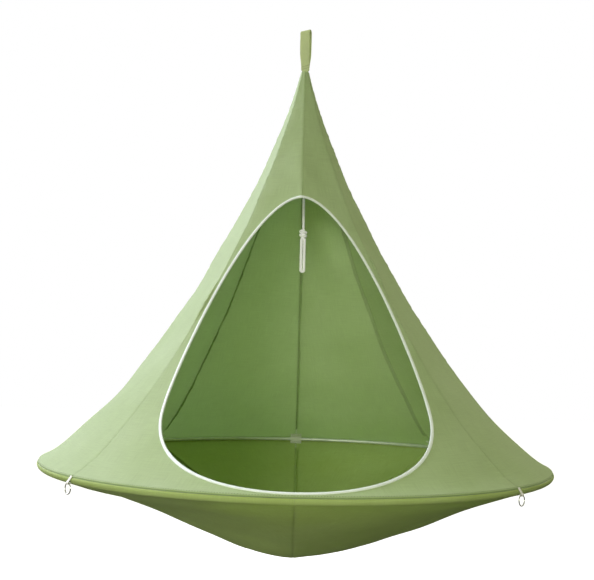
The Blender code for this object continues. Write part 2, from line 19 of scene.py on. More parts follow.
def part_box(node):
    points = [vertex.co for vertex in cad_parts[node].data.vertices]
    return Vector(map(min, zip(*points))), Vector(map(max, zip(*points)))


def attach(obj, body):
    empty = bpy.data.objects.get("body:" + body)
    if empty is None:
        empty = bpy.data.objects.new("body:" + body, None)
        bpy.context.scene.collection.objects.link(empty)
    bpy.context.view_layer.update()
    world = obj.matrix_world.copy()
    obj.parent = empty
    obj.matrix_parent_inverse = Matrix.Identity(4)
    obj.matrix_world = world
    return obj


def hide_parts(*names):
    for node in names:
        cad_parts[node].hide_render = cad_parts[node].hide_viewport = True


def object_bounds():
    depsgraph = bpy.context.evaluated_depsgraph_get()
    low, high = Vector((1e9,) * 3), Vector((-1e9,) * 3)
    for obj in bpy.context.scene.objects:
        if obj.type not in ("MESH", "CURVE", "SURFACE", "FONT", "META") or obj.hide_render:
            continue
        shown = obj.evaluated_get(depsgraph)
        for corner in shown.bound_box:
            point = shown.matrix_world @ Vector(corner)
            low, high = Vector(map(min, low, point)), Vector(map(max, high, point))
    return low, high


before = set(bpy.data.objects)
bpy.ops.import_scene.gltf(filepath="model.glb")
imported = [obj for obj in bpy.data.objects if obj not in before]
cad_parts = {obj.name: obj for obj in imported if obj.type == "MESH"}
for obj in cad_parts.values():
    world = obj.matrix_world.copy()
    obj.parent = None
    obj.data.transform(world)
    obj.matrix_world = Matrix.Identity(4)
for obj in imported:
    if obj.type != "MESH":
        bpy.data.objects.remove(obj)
CAD_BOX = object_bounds()
LOG = logging.getLogger("hanging_cone_hammock")

Tree = bpy.types.NodeTree
Socket = bpy.types.NodeSocket

MM = 0.001
GORE_NAMES = ("front_right", "right_front", "right_back", "back_right",
              "back_left", "left_back", "left_front", "front_left")
SEAM_NAMES = ("front", "front_right", "right", "back_right", "back", "back_left", "left", "front_left")
TUBE_NAMES = ("front_right", "back_right", "back_left", "front_left")
FERRULE_NAMES = ("front", "right", "back", "left")
GORE_ANGLE = 360.0 / len(GORE_NAMES)
TUBE_ANGLE = 360.0 / len(TUBE_NAMES)
UP = np.array((0.0, 0.0, 1.0))
# Angles from which an edge is shaded as a crease: on cloth and metal, on tape, and on yarn.
CREASE_ANGLE = 42.0
TAPE_CREASE = 60.0
YARN_CREASE = 70.0
# Depth of the doorway's binding under the cloth's outer face.
CLOTH_MIDDLE = 0.5 * MM


class Body(Enum):
    """Moving bodies of the frame."""

    LOOP = "suspension"
    POD = "pod"
    CORD = "pull_cord_body"
    RIGHT_RING = "right_ring"
    LEFT_RING = "left_ring"


class Slot(Enum):
    """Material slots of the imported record."""

    CANOPY = "canopy_cloth"
    POUCH = "pouch_cloth"
    PIPING = "white_piping"
    HOOP = "hoop_metal"
    KEEPER = "keeper_cloth"
    WEBBING = "loop_webbing"
    THREAD = "stitching"
    CORD = "cotton_cord"
    TAPE = "white_tape"
    STEEL = "bright_steel"


class Half(Enum):
    """The two halves of the pod."""

    CANOPY = "canopy"
    POUCH = "pouch"


def smooth_step(value: np.ndarray | float) -> np.ndarray:
    """Ease from 0 to 1 as value does."""
    value = np.clip(value, 0.0, 1.0)
    return value * value * (3.0 - 2.0 * value)


def unit(vectors: np.ndarray) -> np.ndarray:
    """Vectors scaled to length 1."""
    return vectors / np.linalg.norm(vectors, axis=-1, keepdims=True)


def heading(angle: float) -> np.ndarray:
    """Unit vector in the plane of radius and height, the angle measured up from outward."""
    return np.array((math.cos(math.radians(angle)), math.sin(math.radians(angle))))


def arc(centre: np.ndarray, radius: float, start: float, end: float, steps: int) -> np.ndarray:
    """Points of an arc in a plane, the angles measured up from its first axis."""
    angles = np.radians(np.linspace(start, end, steps + 1))
    return np.asarray(centre) + radius * np.stack([np.cos(angles), np.sin(angles)], axis=1)


def bezier(a: np.ndarray, b: np.ndarray, c: np.ndarray, d: np.ndarray, steps: int) -> np.ndarray:
    """Points of a cubic Bezier curve in a plane."""
    t = np.linspace(0.0, 1.0, steps + 1)[:, None]
    return (1 - t) ** 3 * a + 3 * (1 - t) ** 2 * t * b + 3 * (1 - t) * t ** 2 * c + t ** 3 * d


def lengths_along(points: np.ndarray) -> np.ndarray:
    """Distance travelled along a line at each of its points."""
    steps = np.linalg.norm(np.diff(points, axis=0), axis=1)
    return np.concatenate([[0.0], np.cumsum(steps)])


def read_at(at: np.ndarray, travelled: np.ndarray, values: np.ndarray) -> np.ndarray:
    """Vectors known at distances along a line, read at other distances."""
    return np.stack([np.interp(at, travelled, values[:, k]) for k in range(values.shape[1])], axis=-1)


def read_line(points: np.ndarray, at: np.ndarray) -> np.ndarray:
    """Places on a line at given distances along it."""
    return read_at(at, lengths_along(points), points)


def graded(length: float, steps: int, closeness: float = 0.75) -> np.ndarray:
    """Distances from 0 to length, closer together at both ends.

    Args:
        length: The whole distance.
        steps: How many steps it is cut into.
        closeness: From 0, all even, up to 1, where the end steps shrink to nothing.
    """
    q = np.linspace(0.0, 1.0, steps + 1)
    return length * (q - closeness * np.sin(2 * np.pi * q) / (2 * np.pi))


def around(radius: np.ndarray, height: np.ndarray, azimuth: np.ndarray) -> np.ndarray:
    """Points at azimuths round the axis, with heights as given."""
    angle = np.radians(azimuth)
    x, y, z = np.broadcast_arrays(radius * np.sin(angle), -radius * np.cos(angle), height)
    return np.stack([x, y, z], axis=-1)


def outward_at(azimuth: np.ndarray | float) -> np.ndarray:
    """Level directions away from the axis."""
    azimuth = np.asarray(azimuth, float)
    return around(np.ones_like(azimuth), np.zeros_like(azimuth), azimuth)


def tangent_at(azimuth: float) -> np.ndarray:
    """Level direction of growing azimuth."""
    angle = math.radians(azimuth)
    return np.array((math.cos(angle), math.sin(angle), 0.0))


def surface_normals(grid: np.ndarray) -> np.ndarray:
    """Outward normals of a grid whose rows run up or out and whose columns run with azimuth."""
    rise = np.gradient(grid, axis=0)
    side = np.gradient(grid, axis=1)
    return unit(np.cross(side, rise))


def laid_out(across: np.ndarray, along: np.ndarray) -> np.ndarray:
    """Lengths across and along the cloth at each point of a grid."""
    return np.stack(np.broadcast_arrays(across, along), axis=-1)


def turn_outward(mesh: bpy.types.Mesh) -> None:
    """Turn the faces of a closed mesh outward."""
    bm = bmesh.new()
    bm.from_mesh(mesh)
    bmesh.ops.recalc_face_normals(bm, faces=bm.faces)
    bm.to_mesh(mesh)
    bm.free()


def add_object(name: str, data: bpy.types.ID) -> bpy.types.Object:
    """A new object, put into the scene."""
    obj = bpy.data.objects.new(name, data)
    bpy.context.scene.collection.objects.link(obj)
    return obj


@dataclass(frozen=True)
class Ripple:
    """A sum of a few sine waves along a line, the same on every run."""

    seed: int
    shortest: float
    longest: float
    waves: int = 6

    def at(self, along: np.ndarray) -> np.ndarray:
        """Height of the ripple, mostly from -1 to 1."""
        rng = np.random.default_rng(self.seed)
        total = np.zeros_like(along, dtype=float)
        for length in np.geomspace(self.longest, self.shortest, self.waves):
            total += np.sin(2 * np.pi * along / length + rng.uniform(0.0, 2 * np.pi))
        return total / math.sqrt(self.waves)


@dataclass(frozen=True)
class Undulation:
    """Broad waves over a whole turn of cloth, which meet themselves after 360 degrees."""

    seed: int
    most_turns: int
    shortest: float
    longest: float
    waves: int = 10

    def at(self, azimuth: np.ndarray, along: np.ndarray) -> np.ndarray:
        """Height of the waves, mostly from -1 to 1."""
        rng = np.random.default_rng(self.seed)
        total = 0.0
        for _ in range(self.waves):
            turns = rng.integers(-self.most_turns, self.most_turns + 1)
            length = rng.uniform(self.shortest, self.longest)
            phase = rng.uniform(0.0, 2 * np.pi)
            total = total + np.sin(turns * np.radians(azimuth) + 2 * np.pi * along / length + phase)
        return total / math.sqrt(self.waves)


@dataclass(frozen=True)
class ConeForm:
    """The shape that the cloth is cut and sewn to: seam lines, cross-sections and the doorway."""

    rim_radius: float
    rim_z: float
    cone_height: float
    pouch_depth: float
    hoop_radius: float = 0.49445
    tube_radius: float = 0.00425
    hem_roll: float = 0.0080
    hem_seam_angle: float = 27.0
    hem_gap: float = 0.0005
    neck_radius: float = 0.0090
    neck_slope: float = 13.8
    neck_pull: float = 0.332
    flare_slope: float = 23.7
    flare_pull: float = 0.124
    rounding_height: float = 0.35
    pouch_slope: float = 18.2
    pouch_pull: float = 0.210
    tip_pull: float = 0.077
    tip_radius: float = 0.0020
    pouch_flatness: float = 0.5
    pouch_rounding: float = 0.08
    door_headroom: float = 0.303
    door_sill: float = 0.0005
    door_widest: float = 0.1035
    door_seam_margin: float = 0.053
    door_top_pull: float = 0.0996
    door_upper_pull: float = 0.0809
    door_lower_pull: float = 0.065
    door_bottom_pull: float = 0.1459

    @classmethod
    def from_frame(cls) -> "ConeForm":
        """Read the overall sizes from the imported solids."""
        low, high = CAD_BOX
        tube_low, tube_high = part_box("hoop_tube_front_right")
        rim_z = (tube_low.z + tube_high.z) / 2
        neck_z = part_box("canopy_gore_front_right")[1].z
        return cls(rim_radius=(high.x - low.x) / 2, rim_z=rim_z,
                   cone_height=neck_z - rim_z, pouch_depth=rim_z - low.z)

    @property
    def roll_centre(self) -> np.ndarray:
        """Middle of the hem's roll as (radius, height)."""
        return np.array((self.rim_radius - self.hem_roll, 0.0))

    def seam_line(self, half: Half, fineness: int = 600) -> np.ndarray:
        """Outer line of a seam as (radius, height).

        Args:
            half: The canopy's line runs up from the hem seam, the pouch's out from the tip to it.
            fineness: Steps of its long curve.
        """
        if half is Half.CANOPY:
            roll = arc(self.roll_centre, self.hem_roll, self.hem_seam_angle, 90.0 - self.flare_slope, 40)
            neck = np.array((self.neck_radius, self.cone_height))
            flare = roll[-1] + self.flare_pull * heading(180.0 - self.flare_slope)
            throat = neck + self.neck_pull * heading(self.neck_slope - 90.0)
            return np.concatenate([roll, bezier(roll[-1], flare, throat, neck, fineness)[1:]])
        seam = self.hem_seam_angle - math.degrees(self.hem_gap / self.hem_roll)
        roll = arc(self.roll_centre, self.hem_roll, self.pouch_slope - 90.0, seam, 60)
        tip = np.array((self.tip_radius, -self.pouch_depth))
        bowl = roll[0] + self.pouch_pull * heading(180.0 + self.pouch_slope)
        floor = tip + self.tip_pull * heading(0.0)
        return np.concatenate([bezier(tip, floor, bowl, roll[0], fineness)[:-1], roll])

    def flatness(self, half: Half, height: np.ndarray) -> np.ndarray:
        """Share of a true octagon in the cross-section."""
        if half is Half.CANOPY:
            return smooth_step(height / self.rounding_height)
        return self.pouch_flatness * smooth_step(-height / self.pouch_rounding)

    def section(self, azimuth: np.ndarray, flatness: np.ndarray) -> np.ndarray:
        """Radius of the cross-section against a seam's."""
        off_centre = np.mod(azimuth, GORE_ANGLE) - GORE_ANGLE / 2
        chord = math.cos(math.radians(GORE_ANGLE / 2)) / np.cos(np.radians(off_centre))
        return 1.0 - flatness * (1.0 - chord)

    def place(self, half: Half, radius: np.ndarray, height: np.ndarray, azimuth: np.ndarray) -> np.ndarray:
        """Points of the cloth's outer face, for seam radii and heights at azimuths."""
        reach = radius * self.section(azimuth, self.flatness(half, height))
        return around(reach, self.rim_z + height, azimuth)

    def normals(self, half: Half, along: np.ndarray, azimuth: np.ndarray) -> np.ndarray:
        """Outward directions in the plane of each point's own azimuth, so that two panels agree at a seam.

        Args:
            half: The half of the pod.
            along: Distances along the seam line, one for each row.
            azimuth: Azimuths, rows by columns.
        """
        line = self.seam_line(half)
        travelled = lengths_along(line)
        slope = unit(np.gradient(line, travelled, axis=0))
        slope = unit(read_at(along, travelled, slope))[:, None, :]
        return around(slope[..., 1], -slope[..., 0], azimuth)

    def front_place(self, x: np.ndarray, height: np.ndarray) -> np.ndarray:
        """Points of the canopy's front at sideways places and heights."""
        line = self.seam_line(Half.CANOPY)
        radius = np.interp(height, line[:, 1], line[:, 0])
        flatness = self.flatness(Half.CANOPY, height)
        near, far = np.zeros_like(x), np.full_like(x, 90.0)
        for _ in range(40):
            azimuth = (near + far) / 2
            short = radius * self.section(azimuth, flatness) * np.sin(np.radians(azimuth)) < np.abs(x)
            near, far = np.where(short, azimuth, near), np.where(short, far, azimuth)
        return self.place(Half.CANOPY, radius, height, np.copysign(azimuth, x))

    def door_outline(self, count: int) -> np.ndarray:
        """Evenly spaced points of the doorway as (x, height), from its top down the right side first."""
        line = self.seam_line(Half.CANOPY)
        seam = np.interp(self.door_widest, line[:, 1], line[:, 0]) * math.sin(math.radians(GORE_ANGLE))
        top = np.array((0.0, self.cone_height - self.door_headroom))
        widest = np.array((seam - self.door_seam_margin, self.door_widest))
        bottom = np.array((0.0, self.hem_roll + self.door_sill))
        upper = bezier(top, top + (self.door_top_pull, 0.0),
                       widest + (0.0, self.door_upper_pull), widest, 200)
        lower = bezier(widest, widest - (0.0, self.door_lower_pull),
                       bottom + (self.door_bottom_pull, 0.0), bottom, 200)
        right = np.concatenate([upper, lower[1:]])
        even = read_line(right, np.linspace(0.0, lengths_along(right)[-1], count // 2 + 1))
        mirrored = even[-2:0:-1] * (-1.0, 1.0)
        return np.concatenate([even, mirrored])

    def door_frames(self, count: int) -> tuple[np.ndarray, np.ndarray, np.ndarray]:
        """The doorway's edge in space.

        Args:
            count: Points round the doorway.

        Returns:
            Places on the cloth's outer face, outward normals, and directions out of the hole.
        """
        outline = self.door_outline(count)
        x, height = outline[:, 0], outline[:, 1]
        step = 2 * MM
        places = self.front_place(x, height)
        side = self.front_place(x + step, height) - self.front_place(x - step, height)
        rise = self.front_place(x, height + step) - self.front_place(x, height - step)
        normals = unit(np.cross(side, rise))
        along = unit(np.roll(places, -1, axis=0) - np.roll(places, 1, axis=0))
        return places, normals, unit(np.cross(normals, along))


@dataclass(frozen=True)
class Stitch:
    """What shows of one stitch: its length and the diameter of its thread."""

    length: float
    thread: float


class Draft:
    """Gathers the points, faces and lengths on the cloth of one piece."""

    def __init__(self) -> None:
        """Start with nothing."""
        self.points: list[np.ndarray] = []
        self.faces: list[np.ndarray] = []
        self.weave: list[np.ndarray] = []
        self.edges: list[np.ndarray] = []
        self.count = 0

    def grid(self, points: np.ndarray, weave: np.ndarray, edges: np.ndarray | None = None,
             wrap_rows: bool = False, wrap_columns: bool = False) -> int:
        """Add a sheet of quads.

        Args:
            points: Rows of points.
            weave: Lengths across and along the cloth at each point, one more column or row where it wraps.
            edges: Distances to the nearest seam and to the hem seam, laid out as weave is.
            wrap_rows: Whether the last row meets the first.
            wrap_columns: Whether the last column meets the first.

        Returns:
            The index of the first point.
        """
        rows, columns = points.shape[:2]
        edges = np.ones(weave.shape) if edges is None else edges
        start = self.count
        i, j = np.meshgrid(np.arange(rows if wrap_rows else rows - 1),
                           np.arange(columns if wrap_columns else columns - 1), indexing="ij")
        corners = ((i, j), (i, j + 1), (i + 1, j + 1), (i + 1, j))
        index = [start + (a % rows) * columns + b % columns for a, b in corners]
        self.points.append(points.reshape(-1, 3))
        self.faces.append(np.stack(index, axis=-1).reshape(-1, 4))
        self.weave.append(np.stack([weave[a, b] for a, b in corners], axis=-2).reshape(-1, 4, 2))
        self.edges.append(np.stack([edges[a, b] for a, b in corners], axis=-2).reshape(-1, 4, 2))
        self.count += rows * columns
        return start

    def quads(self, index: np.ndarray, weave: np.ndarray, edges: np.ndarray | None = None) -> None:
        """Add quads between points that are there already."""
        self.faces.append(index)
        self.weave.append(weave)
        self.edges.append(np.ones(weave.shape) if edges is None else edges)

    def sheet(self, outer: np.ndarray, inner: np.ndarray, weave: np.ndarray,
              edges: np.ndarray | None = None) -> None:
        """Add a closed sheet of cloth between two faces of like rows and columns."""
        edges = np.ones(weave.shape) if edges is None else edges
        rows, columns = outer.shape[:2]

        def both(values: np.ndarray) -> np.ndarray:
            """Values of the outer face, then of the inner one, then the first column again."""
            return np.concatenate([values, values[:, ::-1], values[:, :1]], axis=1)

        start = self.grid(np.concatenate([outer, inner[:, ::-1]], axis=1), both(weave), both(edges),
                          wrap_columns=True)
        j = np.arange(columns - 1)
        for row, order in ((0, (3, 2, 1, 0)), (rows - 1, (0, 1, 2, 3))):
            first = start + row * 2 * columns
            index = [first + j, first + j + 1, first + 2 * columns - 2 - j, first + 2 * columns - 1 - j]
            columns_used = [(j, j + 1, j + 1, j)[k] for k in order]
            self.quads(np.stack([index[k] for k in order], axis=-1),
                       np.stack([weave[row, column] for column in columns_used], axis=-2),
                       np.stack([edges[row, column] for column in columns_used], axis=-2))

    def sweep(self, rings: np.ndarray, cyclic: bool = False) -> None:
        """Add a tube through closed rings of points.

        Args:
            rings: Rings of points, each ring one row.
            cyclic: Whether the last ring meets the first. Otherwise both ends are capped.
        """
        ring = np.concatenate([rings[0], rings[0][:1]])
        across = lengths_along(ring)
        middles = rings.mean(axis=1)
        travel = np.concatenate([middles, middles[:1]]) if cyclic else middles
        along = lengths_along(travel)
        weave = laid_out(across[None, :], along[:, None])
        start = self.grid(rings, weave, wrap_rows=cyclic, wrap_columns=True)
        if cyclic:
            return
        rows, columns = rings.shape[:2]
        for row in (0, rows - 1):
            first = start + row * columns
            pairs = np.arange(columns // 2 - 1)
            index = np.stack([first + pairs, first + pairs + 1,
                              first + columns - 2 - pairs, first + columns - 1 - pairs], axis=-1)
            if row:
                index = index[:, ::-1]
            lay = np.broadcast_to(weave[row, :1][None], (len(index), 4, 2))
            self.quads(index[:, ::-1], np.array(lay))

    def stitches(self, places: np.ndarray, along: np.ndarray, normals: np.ndarray, stitch: Stitch) -> None:
        """Add short rounded stitches that rise from the cloth and dip back into it.

        Args:
            places: Middle of each stitch, on the cloth.
            along: Direction of each stitch.
            normals: Outward normals of the cloth.
            stitch: Its size.
        """
        along = unit(along)
        side = unit(np.cross(normals, along))
        up = np.cross(along, side)
        for place, a, b, c in zip(places, along, side, up):
            rings = []
            for share in (-0.5, -0.34, 0.0, 0.34, 0.5):
                bulge = 1.0 - (2 * share) ** 4
                angles = np.radians(np.arange(6) * 60.0)
                radius = stitch.thread / 2 * (0.35 + 0.65 * bulge)
                lift = stitch.thread * (0.55 * (1.0 - (2 * share) ** 2) - 0.25)
                middle = place + a * share * stitch.length + c * lift
                rings.append(middle + radius * (np.cos(angles)[:, None] * b + np.sin(angles)[:, None] * c))
            self.sweep(np.array(rings))

    def finish(self, name: str, material: bpy.types.Material,
               sharp: float = CREASE_ANGLE) -> bpy.types.Object:
        """Make the piece.

        Args:
            name: Name of the new object.
            material: Its material.
            sharp: Angle from which an edge is shaded as a crease.
        """
        mesh = bpy.data.meshes.new(name)
        faces = np.concatenate(self.faces)
        mesh.from_pydata(np.concatenate(self.points).tolist(), [], faces.tolist())
        for layer, values in (("weave", self.weave), ("edges", self.edges)):
            layer_data = mesh.uv_layers.new(name=layer).data
            layer_data.foreach_set("uv", np.concatenate(values).astype(np.float32).ravel())
        turn_outward(mesh)
        mesh.materials.append(material)
        mesh.shade_smooth()
        mesh.set_sharp_from_angle(angle=math.radians(sharp))
        return add_object(name, mesh)


def rings_along(path: np.ndarray, first: np.ndarray, second: np.ndarray, section: np.ndarray) -> np.ndarray:
    """Rings of a tube: a section of (first, second) offsets, one for all or one for each point of a path."""
    if section.ndim == 2:
        section = np.broadcast_to(section, (len(path), *section.shape))
    return path[:, None] + section[..., :1] * first[:, None] + section[..., 1:] * second[:, None]


def round_section(radius: float, sides: int) -> np.ndarray:
    """Offsets of a round section."""
    angles = np.arange(sides) * 2 * np.pi / sides
    return radius * np.stack([np.cos(angles), np.sin(angles)], axis=-1)


def soft_box_section(width: float, thickness: float, sides: int, squareness: float = 4.0) -> np.ndarray:
    """Offsets of a flat section with rounded edges."""
    angles = np.arange(sides) * 2 * np.pi / sides
    cosine, sine = np.cos(angles), np.sin(angles)
    x = np.sign(cosine) * np.abs(cosine) ** (2 / squareness)
    y = np.sign(sine) * np.abs(sine) ** (2 / squareness)
    return np.stack([x * width / 2, y * thickness / 2], axis=-1)


def path_frames(path: np.ndarray, start: np.ndarray) -> tuple[np.ndarray, np.ndarray]:
    """Two cross directions along a path that twist as little as they can.

    Args:
        path: Points of the path.
        start: A direction off the path at its first point.

    Returns:
        The first and second cross direction at each point.
    """
    along = unit(np.gradient(path, axis=0))
    first = []
    direction = np.asarray(start, float)
    for tangent in along:
        direction = unit(direction - tangent * direction.dot(tangent))
        first.append(direction)
    first = np.array(first)
    return first, np.cross(along, first)


def linear(hex_colour: str) -> tuple[float, float, float, float]:
    """An sRGB hex colour as linear values with full alpha."""
    parts = [int(hex_colour[i:i + 2], 16) / 255 for i in (1, 3, 5)]
    return (*[p / 12.92 if p <= 0.04045 else ((p + 0.055) / 1.055) ** 2.4 for p in parts], 1.0)


def add_node(tree: Tree, kind: str, settings: dict | None = None,
             values: dict | None = None) -> bpy.types.Node:
    """Add a node with its settings, socket values and links.

    Args:
        tree: The node tree.
        kind: Type name of the node.
        settings: Properties of the node.
        values: For input sockets by name or index, a value, or another node's output socket to link.
    """
    node = tree.nodes.new(kind)
    for key, value in (settings or {}).items():
        setattr(node, key, value)
    for key, value in (values or {}).items():
        if isinstance(value, Socket):
            tree.links.new(value, node.inputs[key])
        else:
            node.inputs[key].default_value = value
    return node


def new_material(name: str) -> tuple[bpy.types.Material, Tree]:
    """A material and its node tree, empty as yet."""
    material = bpy.data.materials.new(name)
    material.use_nodes = True
    tree = material.node_tree
    tree.nodes.clear()
    return material, tree


def mixed(tree: Tree, factor: Socket, low: str, high: str) -> Socket:
    """A colour that goes from one hex colour to another with a factor."""
    node = add_node(tree, "ShaderNodeMix", {"data_type": "RGBA"},
                    {0: factor, 6: linear(low), 7: linear(high)})
    return node.outputs[2]


def ranged(tree: Tree, value: Socket, start: float, end: float, low: float, high: float) -> Socket:
    """A value mapped from one range to another, and kept in it."""
    node = add_node(tree, "ShaderNodeMapRange", {}, {"Value": value, "From Min": start, "From Max": end,
                                                      "To Min": low, "To Max": high})
    return node.outputs["Result"]


def combined(tree: Tree, operation: str, *values: Socket | float) -> Socket:
    """The result of one step of arithmetic on one or two values."""
    node = add_node(tree, "ShaderNodeMath", {"operation": operation}, dict(enumerate(values)))
    return node.outputs[0]


def added(tree: Tree, *values: Socket | float) -> Socket:
    """Two values added."""
    return combined(tree, "ADD", *values)


def times(tree: Tree, *values: Socket | float) -> Socket:
    """Two values multiplied."""
    return combined(tree, "MULTIPLY", *values)


def lengths_on(tree: Tree, layer: str) -> tuple[Socket, ...]:
    """Lengths kept on the mesh: both together, then the first and the second."""
    pair = add_node(tree, "ShaderNodeUVMap", {"uv_map": layer}).outputs["UV"]
    split = add_node(tree, "ShaderNodeSeparateXYZ", {}, {"Vector": pair})
    return pair, split.outputs["X"], split.outputs["Y"]


def noise(tree: Tree, place: Socket, scale: float, detail: float) -> Socket:
    """Soft random values in space, mostly from 0.3 to 0.7."""
    node = add_node(tree, "ShaderNodeTexNoise", {}, {"Vector": place, "Scale": scale, "Detail": detail})
    return node.outputs["Fac"]


def streaks(tree: Tree, weave: Socket, across: float, along: float, detail: float) -> Socket:
    """Soft random values on the cloth, of one size across it and another along it."""
    stretched = add_node(tree, "ShaderNodeMapping", {},
                         {"Vector": weave, "Scale": (1 / across, 1 / along, 1.0)})
    node = add_node(tree, "ShaderNodeTexNoise", {"noise_dimensions": "2D"},
                    {"Vector": stretched.outputs[0], "Scale": 1.0, "Detail": detail})
    return node.outputs["Fac"]


def varied(tree: Tree, random: Socket, low: float, high: float) -> Socket:
    """Soft random values mapped to a range."""
    return ranged(tree, random, 0.3, 0.7, low, high)


def toned(tree: Tree, colour: Socket, shade: Socket, saturation: Socket | float = 1.0) -> Socket:
    """A colour made lighter or darker by a share of itself."""
    node = add_node(tree, "ShaderNodeHueSaturation", {},
                    {"Color": colour, "Value": added(tree, shade, 1.0), "Saturation": saturation})
    return node.outputs[0]


def bumped(tree: Tree, height: Socket, strength: float, distance: float) -> Socket:
    """Normals tilted by a height."""
    node = add_node(tree, "ShaderNodeBump", {},
                    {"Height": height, "Strength": strength, "Distance": distance})
    return node.outputs[0]


def glossy(tree: Tree, values: dict) -> Socket:
    """The shader of a surface, with the given socket values and links."""
    return add_node(tree, "ShaderNodeBsdfPrincipled", {}, values).outputs[0]


def put_out(tree: Tree, surface: Socket) -> None:
    """Make a shader the material's surface."""
    add_node(tree, "ShaderNodeOutputMaterial", {}, {"Surface": surface})


@dataclass(frozen=True)
class WovenCloth:
    """Dyed polyester canvas, plain woven from spun yarn.

    The spun yarn gives the eye a matt, slightly hairy surface: broad soft highlights, a pale bloom at
    grazing angles, and threads that vary a little in thickness and in how they took the dye. Lamp light
    comes through it faintly.
    """

    name: str
    colour: str
    dark_thread: str
    # The seam colour and the seam and hem darkness paint shade into the cloth's colour, in the grooves at
    # the seams and along the hem, where shade falls.
    seam_shade_colour: str
    through_colour: str
    seam_painted_shade: float = 0.52
    # The painted seam shade is weaker outside, where the plies meet flush and little shade gathers, than
    # inside, where the turned allowances hold it.
    outside_seam: float = 0.30
    hem_painted_shade: float = 0.75
    hem_shade_reach: float = 2.4 * MM
    through: float = 0.31
    # Real yarns lie about 0.5 mm apart. They are drawn 1.5 mm apart so that they show at all.
    yarn_pitch: float = 1.5 * MM
    slub_width: float = 0.9 * MM
    slub_length: float = 38.0 * MM
    mottle: float = 0.11
    roughness: float = 0.82
    sheen: float = 0.14
    relief: float = 0.25 * MM

    def build(self) -> bpy.types.Material:
        """Make the material."""
        material, tree = new_material(self.name)
        weave, across, along = lengths_on(tree, "weave")
        slubs = [streaks(tree, weave, *size, 2.0)
                 for size in ((self.slub_width, self.slub_length), (self.slub_length, self.slub_width))]
        slub = times(tree, added(tree, *slubs), 0.5)
        coordinates = add_node(tree, "ShaderNodeTexCoord").outputs
        broad = noise(tree, coordinates["Object"], 1 / self.mottle, 4.0)
        soft = noise(tree, coordinates["Object"], 42.0, 5.0)

        base = mixed(tree, ranged(tree, slub, 0.36, 0.64, 0.0, 1.0), self.dark_thread, self.colour)
        shade = added(tree, varied(tree, broad, -0.035, 0.035), varied(tree, soft, -0.02, 0.02))
        colour = toned(tree, base, shade, varied(tree, broad, 1.05, 0.95))
        # Painted shade: near seams and the hem the cloth turns towards the seam colour.
        with_painted_seam_shade = add_node(tree, "ShaderNodeMix", {"data_type": "RGBA"},
                        {0: self.shade_at_seams(tree, coordinates), 6: colour, 7: linear(self.seam_shade_colour)})

        threads = self.thread_height(tree, across, along)
        height = added(tree, times(tree, threads, 0.5), times(tree, slub, 1.2))
        normal = bumped(tree, added(tree, height, times(tree, soft, 1.4)), 0.55, self.relief)
        rough = ranged(tree, slub, 0.35, 0.65, self.roughness - 0.06, self.roughness + 0.06)
        face = glossy(tree, {"Base Color": with_painted_seam_shade.outputs[2], "Roughness": rough, "IOR": 1.5,
                             "Specular IOR Level": 0.3, "Sheen Weight": self.sheen, "Sheen Roughness": 0.45,
                             "Sheen Tint": linear("#E8F2CC"), "Normal": normal})
        back = add_node(tree, "ShaderNodeBsdfTranslucent", {},
                        {"Color": linear(self.through_colour), "Normal": normal})
        mix = add_node(tree, "ShaderNodeMixShader", {}, {0: self.through, 1: face, 2: back.outputs[0]})
        put_out(tree, mix.outputs[0])
        return material

    def thread_height(self, tree: Tree, across: Socket, along: Socket) -> Socket:
        """How high the crossing yarns stand."""
        turn = math.pi / self.yarn_pitch
        warp, weft = (combined(tree, "SINE", times(tree, length, turn)) for length in (across, along))
        high = times(tree, combined(tree, "ABSOLUTE", warp), combined(tree, "ABSOLUTE", weft))
        return added(tree, high, times(tree, times(tree, warp, weft), 0.35))

    def shade_at_seams(self, tree: Tree, coordinates: bpy.types.bpy_prop_collection) -> Socket:
        """Painted shade: how dark the cloth is painted near a seam, which outside is less than inside, and
        near the hem.
        """
        _, to_seam, to_hem = lengths_on(tree, "edges")
        level = add_node(tree, "ShaderNodeVectorMath", {"operation": "MULTIPLY"},
                         {0: coordinates["Object"], 1: (1.0, 1.0, 0.0)})
        facing = add_node(tree, "ShaderNodeVectorMath", {"operation": "DOT_PRODUCT"},
                          {0: level.outputs[0], 1: coordinates["Normal"]})
        outside = combined(tree, "GREATER_THAN", facing.outputs["Value"], 0.0)
        seam = ranged(tree, to_seam, 0.6 * MM, 4.0 * MM, self.seam_painted_shade, 0.0)
        seam = times(tree, seam, ranged(tree, outside, 0.0, 1.0, 1.0, self.outside_seam))
        hem = ranged(tree, to_hem, 0.4 * MM, self.hem_shade_reach, self.hem_painted_shade, 0.0)
        return combined(tree, "MAXIMUM", seam, hem)


